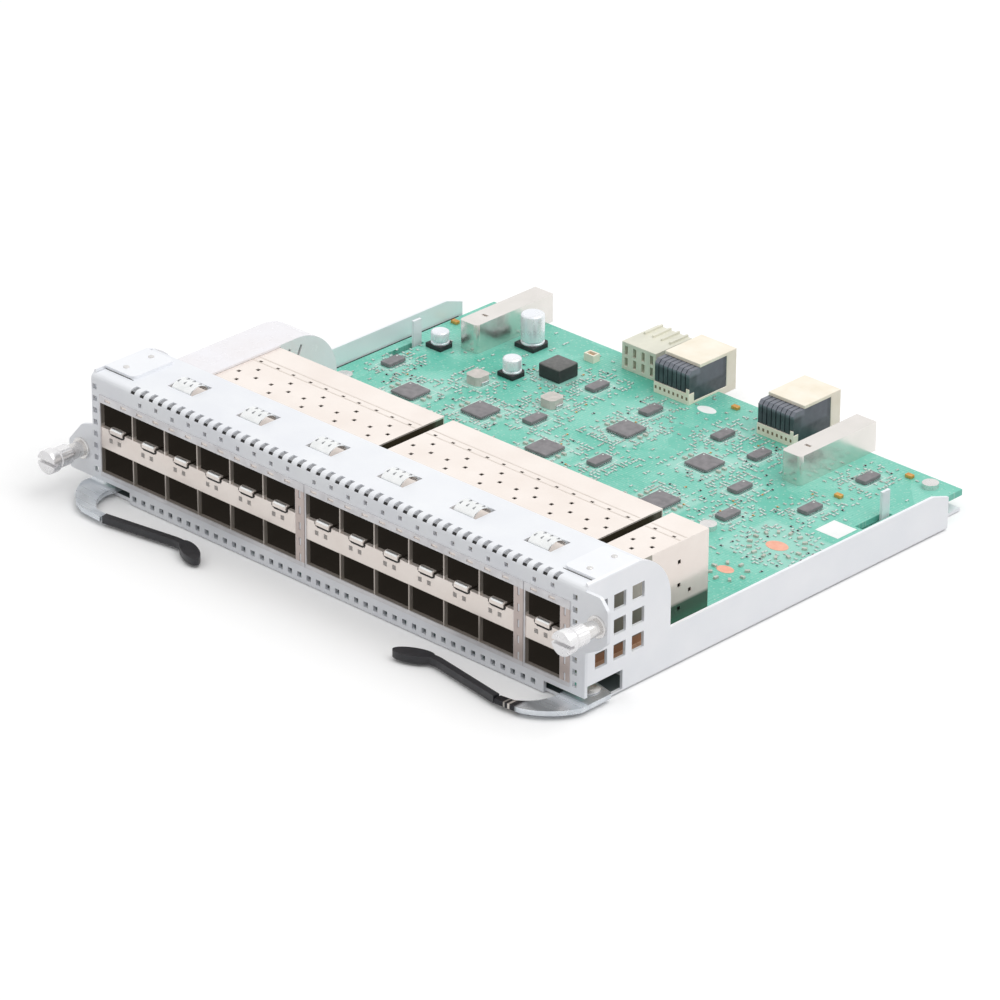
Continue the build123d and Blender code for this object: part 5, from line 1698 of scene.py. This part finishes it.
@dataclass
class CaptiveScrew:
    """Captive panel screw on one side: sleeve in the ear, knob with threaded shaft and bush."""

    side: Side
    slot_half: float = 0.5
    slot_depth: float = 1.6
    head_end: float = 3.6
    neck_radius: float = 2.95
    body_radius: float = 3.3
    body_end: float = 8.8
    cup_radius: float = 2.75
    cup_start: float = 3.2
    shaft_radius: float = 1.5
    collar_radius: float = 2.1
    collar_start: float = 17.0
    collar_end: float = 17.8
    knurl_share: float = 0.972
    knurl_lines: int = 48
    head_arc_steps: int = 20
    flange_sheet: float = 0.8
    sleeve_radius: float = 2.5

    def build(self) -> int:
        """Builds one captive screw's looks and returns the number of new pieces."""
        dress(f"thrust_bush_{self.side.word}", Finishes.STEEL)
        self.knob()
        self.sleeve()
        return 2

    def knob(self) -> None:
        """Slotted head, knurled body with its cup, and the shaft with its collar and chamfered end.
        """
        node = f"captive_screw_{self.side.word}"
        box = node_box(node)
        radius, length = box.size.x / 2, box.size.y
        x, y, z = box.centre.x, box.low.y, box.centre.z
        forge = Forge(f"captive_knob_{self.side.word}", Finishes.SCREW)
        forge.lathe(
            [(0, self.slot_depth), (radius, self.slot_depth), (radius, self.head_end - 0.5),
             (self.neck_radius, self.head_end), (self.neck_radius, self.head_end + 0.6),
             (self.body_radius, self.head_end + 0.9), (self.body_radius, self.body_end),
             (self.cup_radius, self.body_end), (self.cup_radius, self.cup_start),
             (self.shaft_radius, self.cup_start), (self.shaft_radius, self.collar_start),
             (self.collar_radius, self.collar_start), (self.collar_radius, self.collar_end),
             (self.shaft_radius, self.collar_end), (self.shaft_radius, length - 0.4),
             (self.shaft_radius - 0.4, length), (0, length)],
            (x, y, z), axis="Y",
        )
        self.knurl(forge, x, z)
        start = math.asin(self.slot_half / radius)
        turns = [start + (math.pi - 2 * start) * step / self.head_arc_steps
                 for step in range(self.head_arc_steps + 1)]
        for way in (-1, 1):
            points = [(x + radius * math.cos(turn), y, z + way * radius * math.sin(turn))
                      for turn in turns]
            forge.prism(points, (0, self.slot_depth, 0), 0.35)
        forge.finish_piece(Body[f"SCREW_{self.side.name}"], "screw_metal", [node], smooth=30)

    def knurl(self, forge: Forge, x: float, z: float) -> None:
        """Draws in every other line of points on the knob's body.

        Args:
            forge: Piece with the knob.
            x: The knob's axis across the card.
            z: The knob's axis in height.
        """
        for vert in forge.mesh.verts:
            across, up = vert.co.x - x, vert.co.z - z
            if abs(math.hypot(across, up) - self.body_radius) < 0.01:
                turn = round(math.atan2(up, across) * self.knurl_lines / math.tau)
                if turn % 2:
                    vert.co.x = x + across * self.knurl_share
                    vert.co.z = z + up * self.knurl_share

    def sleeve(self) -> None:
        """Sleeve pressed into the ear, with a rounded flange and a bore for the shaft."""
        node = f"screw_sleeve_{self.side.word}"
        box = node_box(node)
        flange_radius, length = box.size.x / 2, box.size.y
        ear_front = node_box("faceplate").low.y - box.low.y
        outer, bore = self.sleeve_radius, self.shaft_radius + 0.05
        forge = Forge(f"ear_sleeve_{self.side.word}", Finishes.STEEL)
        forge.lathe(
            [(bore, 0), (outer - 0.2, 0), (outer, 0.2), (outer, ear_front - self.flange_sheet),
             (flange_radius - 0.2, ear_front - self.flange_sheet),
             (flange_radius, ear_front - self.flange_sheet + 0.2), (flange_radius, ear_front),
             (outer, ear_front), (outer, length), (bore, length), (bore, 0)],
            (box.centre.x, box.low.y, box.centre.z), axis="Y",
        )
        forge.finish_piece(Body.CARD, "screw_metal", [node], smooth=35)


@dataclass
class Studio:
    """Pale floor, soft light and the photograph's camera."""

    camera_place: Point = (1083.45, -1148.3, 782.0)
    camera_target: Point = (10.85, -27.6, 14.0)
    focal_pixels: float = 5748.0
    image_pixels: float = 1000.0
    sensor: float = 36.0
    roll: float = 0.253
    shift_pixels: float = 3.12
    floor_half: float = 6000.0
    floor_drop: float = 0.3
    horizon_level: float = 0.3
    zenith_level: float = 1.1
    key_place: Point = (900.0, 500.0, 1600.0)
    key_power: float = 13.0
    key_size: float = 1500.0

    def build(self) -> None:
        """Builds the floor, the lights and the camera."""
        self.floor()
        self.world()
        self.key_light()
        self.camera()
        scene = bpy.context.scene
        scene.view_settings.view_transform = "Standard"

    def camera(self) -> None:
        """Sets the camera that the photograph was fitted with."""
        data = bpy.data.cameras.new("photo_camera")
        data.sensor_width = self.sensor
        data.lens = self.focal_pixels / self.image_pixels * self.sensor
        data.shift_x = self.shift_pixels / self.image_pixels
        data.clip_start, data.clip_end = 0.05, 30.0
        camera = new_object("photo_camera", data)
        place, target = Vector(self.camera_place), Vector(self.camera_target)
        ahead = (target - place).normalized()
        level = ahead.cross(Vector((0, 0, 1))).normalized()
        upright = level.cross(ahead)
        roll = math.radians(self.roll)
        right = level * math.cos(roll) + upright * math.sin(roll)
        above = upright * math.cos(roll) - level * math.sin(roll)
        turn = Matrix((right, above, -ahead)).transposed().to_4x4()
        camera.matrix_world = Matrix.Translation(place * METRES) @ turn
        bpy.context.scene.camera = camera

    def floor(self) -> None:
        """Adds the pale floor, which stays white to the camera, gloss and glass."""
        mesh = bmesh.new()
        bmesh.ops.create_grid(mesh, x_segments=1, y_segments=1, size=self.floor_half * METRES)
        bmesh.ops.translate(mesh, verts=mesh.verts, vec=(0, 0, -self.floor_drop * METRES))
        data = bpy.data.meshes.new("floor")
        mesh.to_mesh(data)
        mesh.free()
        floor = new_object("floor", data)
        made = bpy.data.materials.new("floor_finish")
        made.use_nodes = True
        sheet = NodeSheet(made.node_tree)
        shader = made.node_tree.nodes["Principled BSDF"]
        shader.inputs["Roughness"].default_value = 0.9
        shader.inputs["Specular IOR Level"].default_value = 0.0
        colour = sheet.mix(self.seen_directly(sheet), (0.5, 0.5, 0.505, 1), (1, 1, 1, 1))
        sheet.join(colour, shader.inputs["Base Color"])
        data.materials.append(made)

    @staticmethod
    def seen_directly(sheet: NodeSheet) -> bpy.types.NodeSocket:
        """A value that is 1 for camera, glossy and transmission rays."""
        path = sheet.add("LightPath")
        seen = sheet.math("MAXIMUM", path.outputs["Is Camera Ray"], path.outputs["Is Glossy Ray"])
        return sheet.math("MAXIMUM", seen, path.outputs["Is Transmission Ray"])

    def world(self) -> None:
        """A dome that is brighter overhead, and white where it is seen."""
        world = bpy.data.worlds.new("studio_dome")
        world.use_nodes = True
        bpy.context.scene.world = world
        sheet = NodeSheet(world.node_tree)
        shade = world.node_tree.nodes["Background"]
        geometry = sheet.add("NewGeometry")
        parts = sheet.add("SeparateXYZ")
        sheet.join(geometry.outputs["Incoming"], parts.inputs[0])
        height = sheet.math("ABSOLUTE", parts.outputs[2])
        level = sheet.span(height, 0.0, 1.0, self.horizon_level, self.zenith_level)
        grey = sheet.add("CombineColor")
        for index in range(3):
            sheet.join(level, grey.inputs[index])
        colour = sheet.mix(self.seen_directly(sheet), grey.outputs[0], (1, 1, 1, 1))
        sheet.join(colour, shade.inputs["Color"])
        shade.inputs["Strength"].default_value = 1.0

    def key_light(self) -> None:
        """A large soft lamp above and behind the card's right side."""
        data = bpy.data.lights.new("key_lamp", "AREA")
        data.size = self.key_size * METRES
        data.energy = self.key_power
        lamp = new_object("key_lamp", data)
        place = Vector(self.key_place) * METRES
        lamp.location = place
        lamp.rotation_mode = "QUATERNION"
        lamp.rotation_quaternion = (-place).to_track_quat("-Z", "Y")


def main() -> None:
    """Builds the card's looks in order and logs each builder's count of new pieces."""
    logging.basicConfig(level=logging.INFO, format="%(name)s: %(message)s")
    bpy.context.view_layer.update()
    builders = [
        Chassis(), PortCages(), CircuitBoard(), BoardComponents(), RearConnectors(), AirGuide(),
        *(EjectorLever(side) for side in Side), *(CaptiveScrew(side) for side in Side),
    ]
    for builder in builders:
        LOG.info("%s: %d new pieces", type(builder).__name__, builder.build())
    Studio().build()


if __name__ == "__main__":
    main()
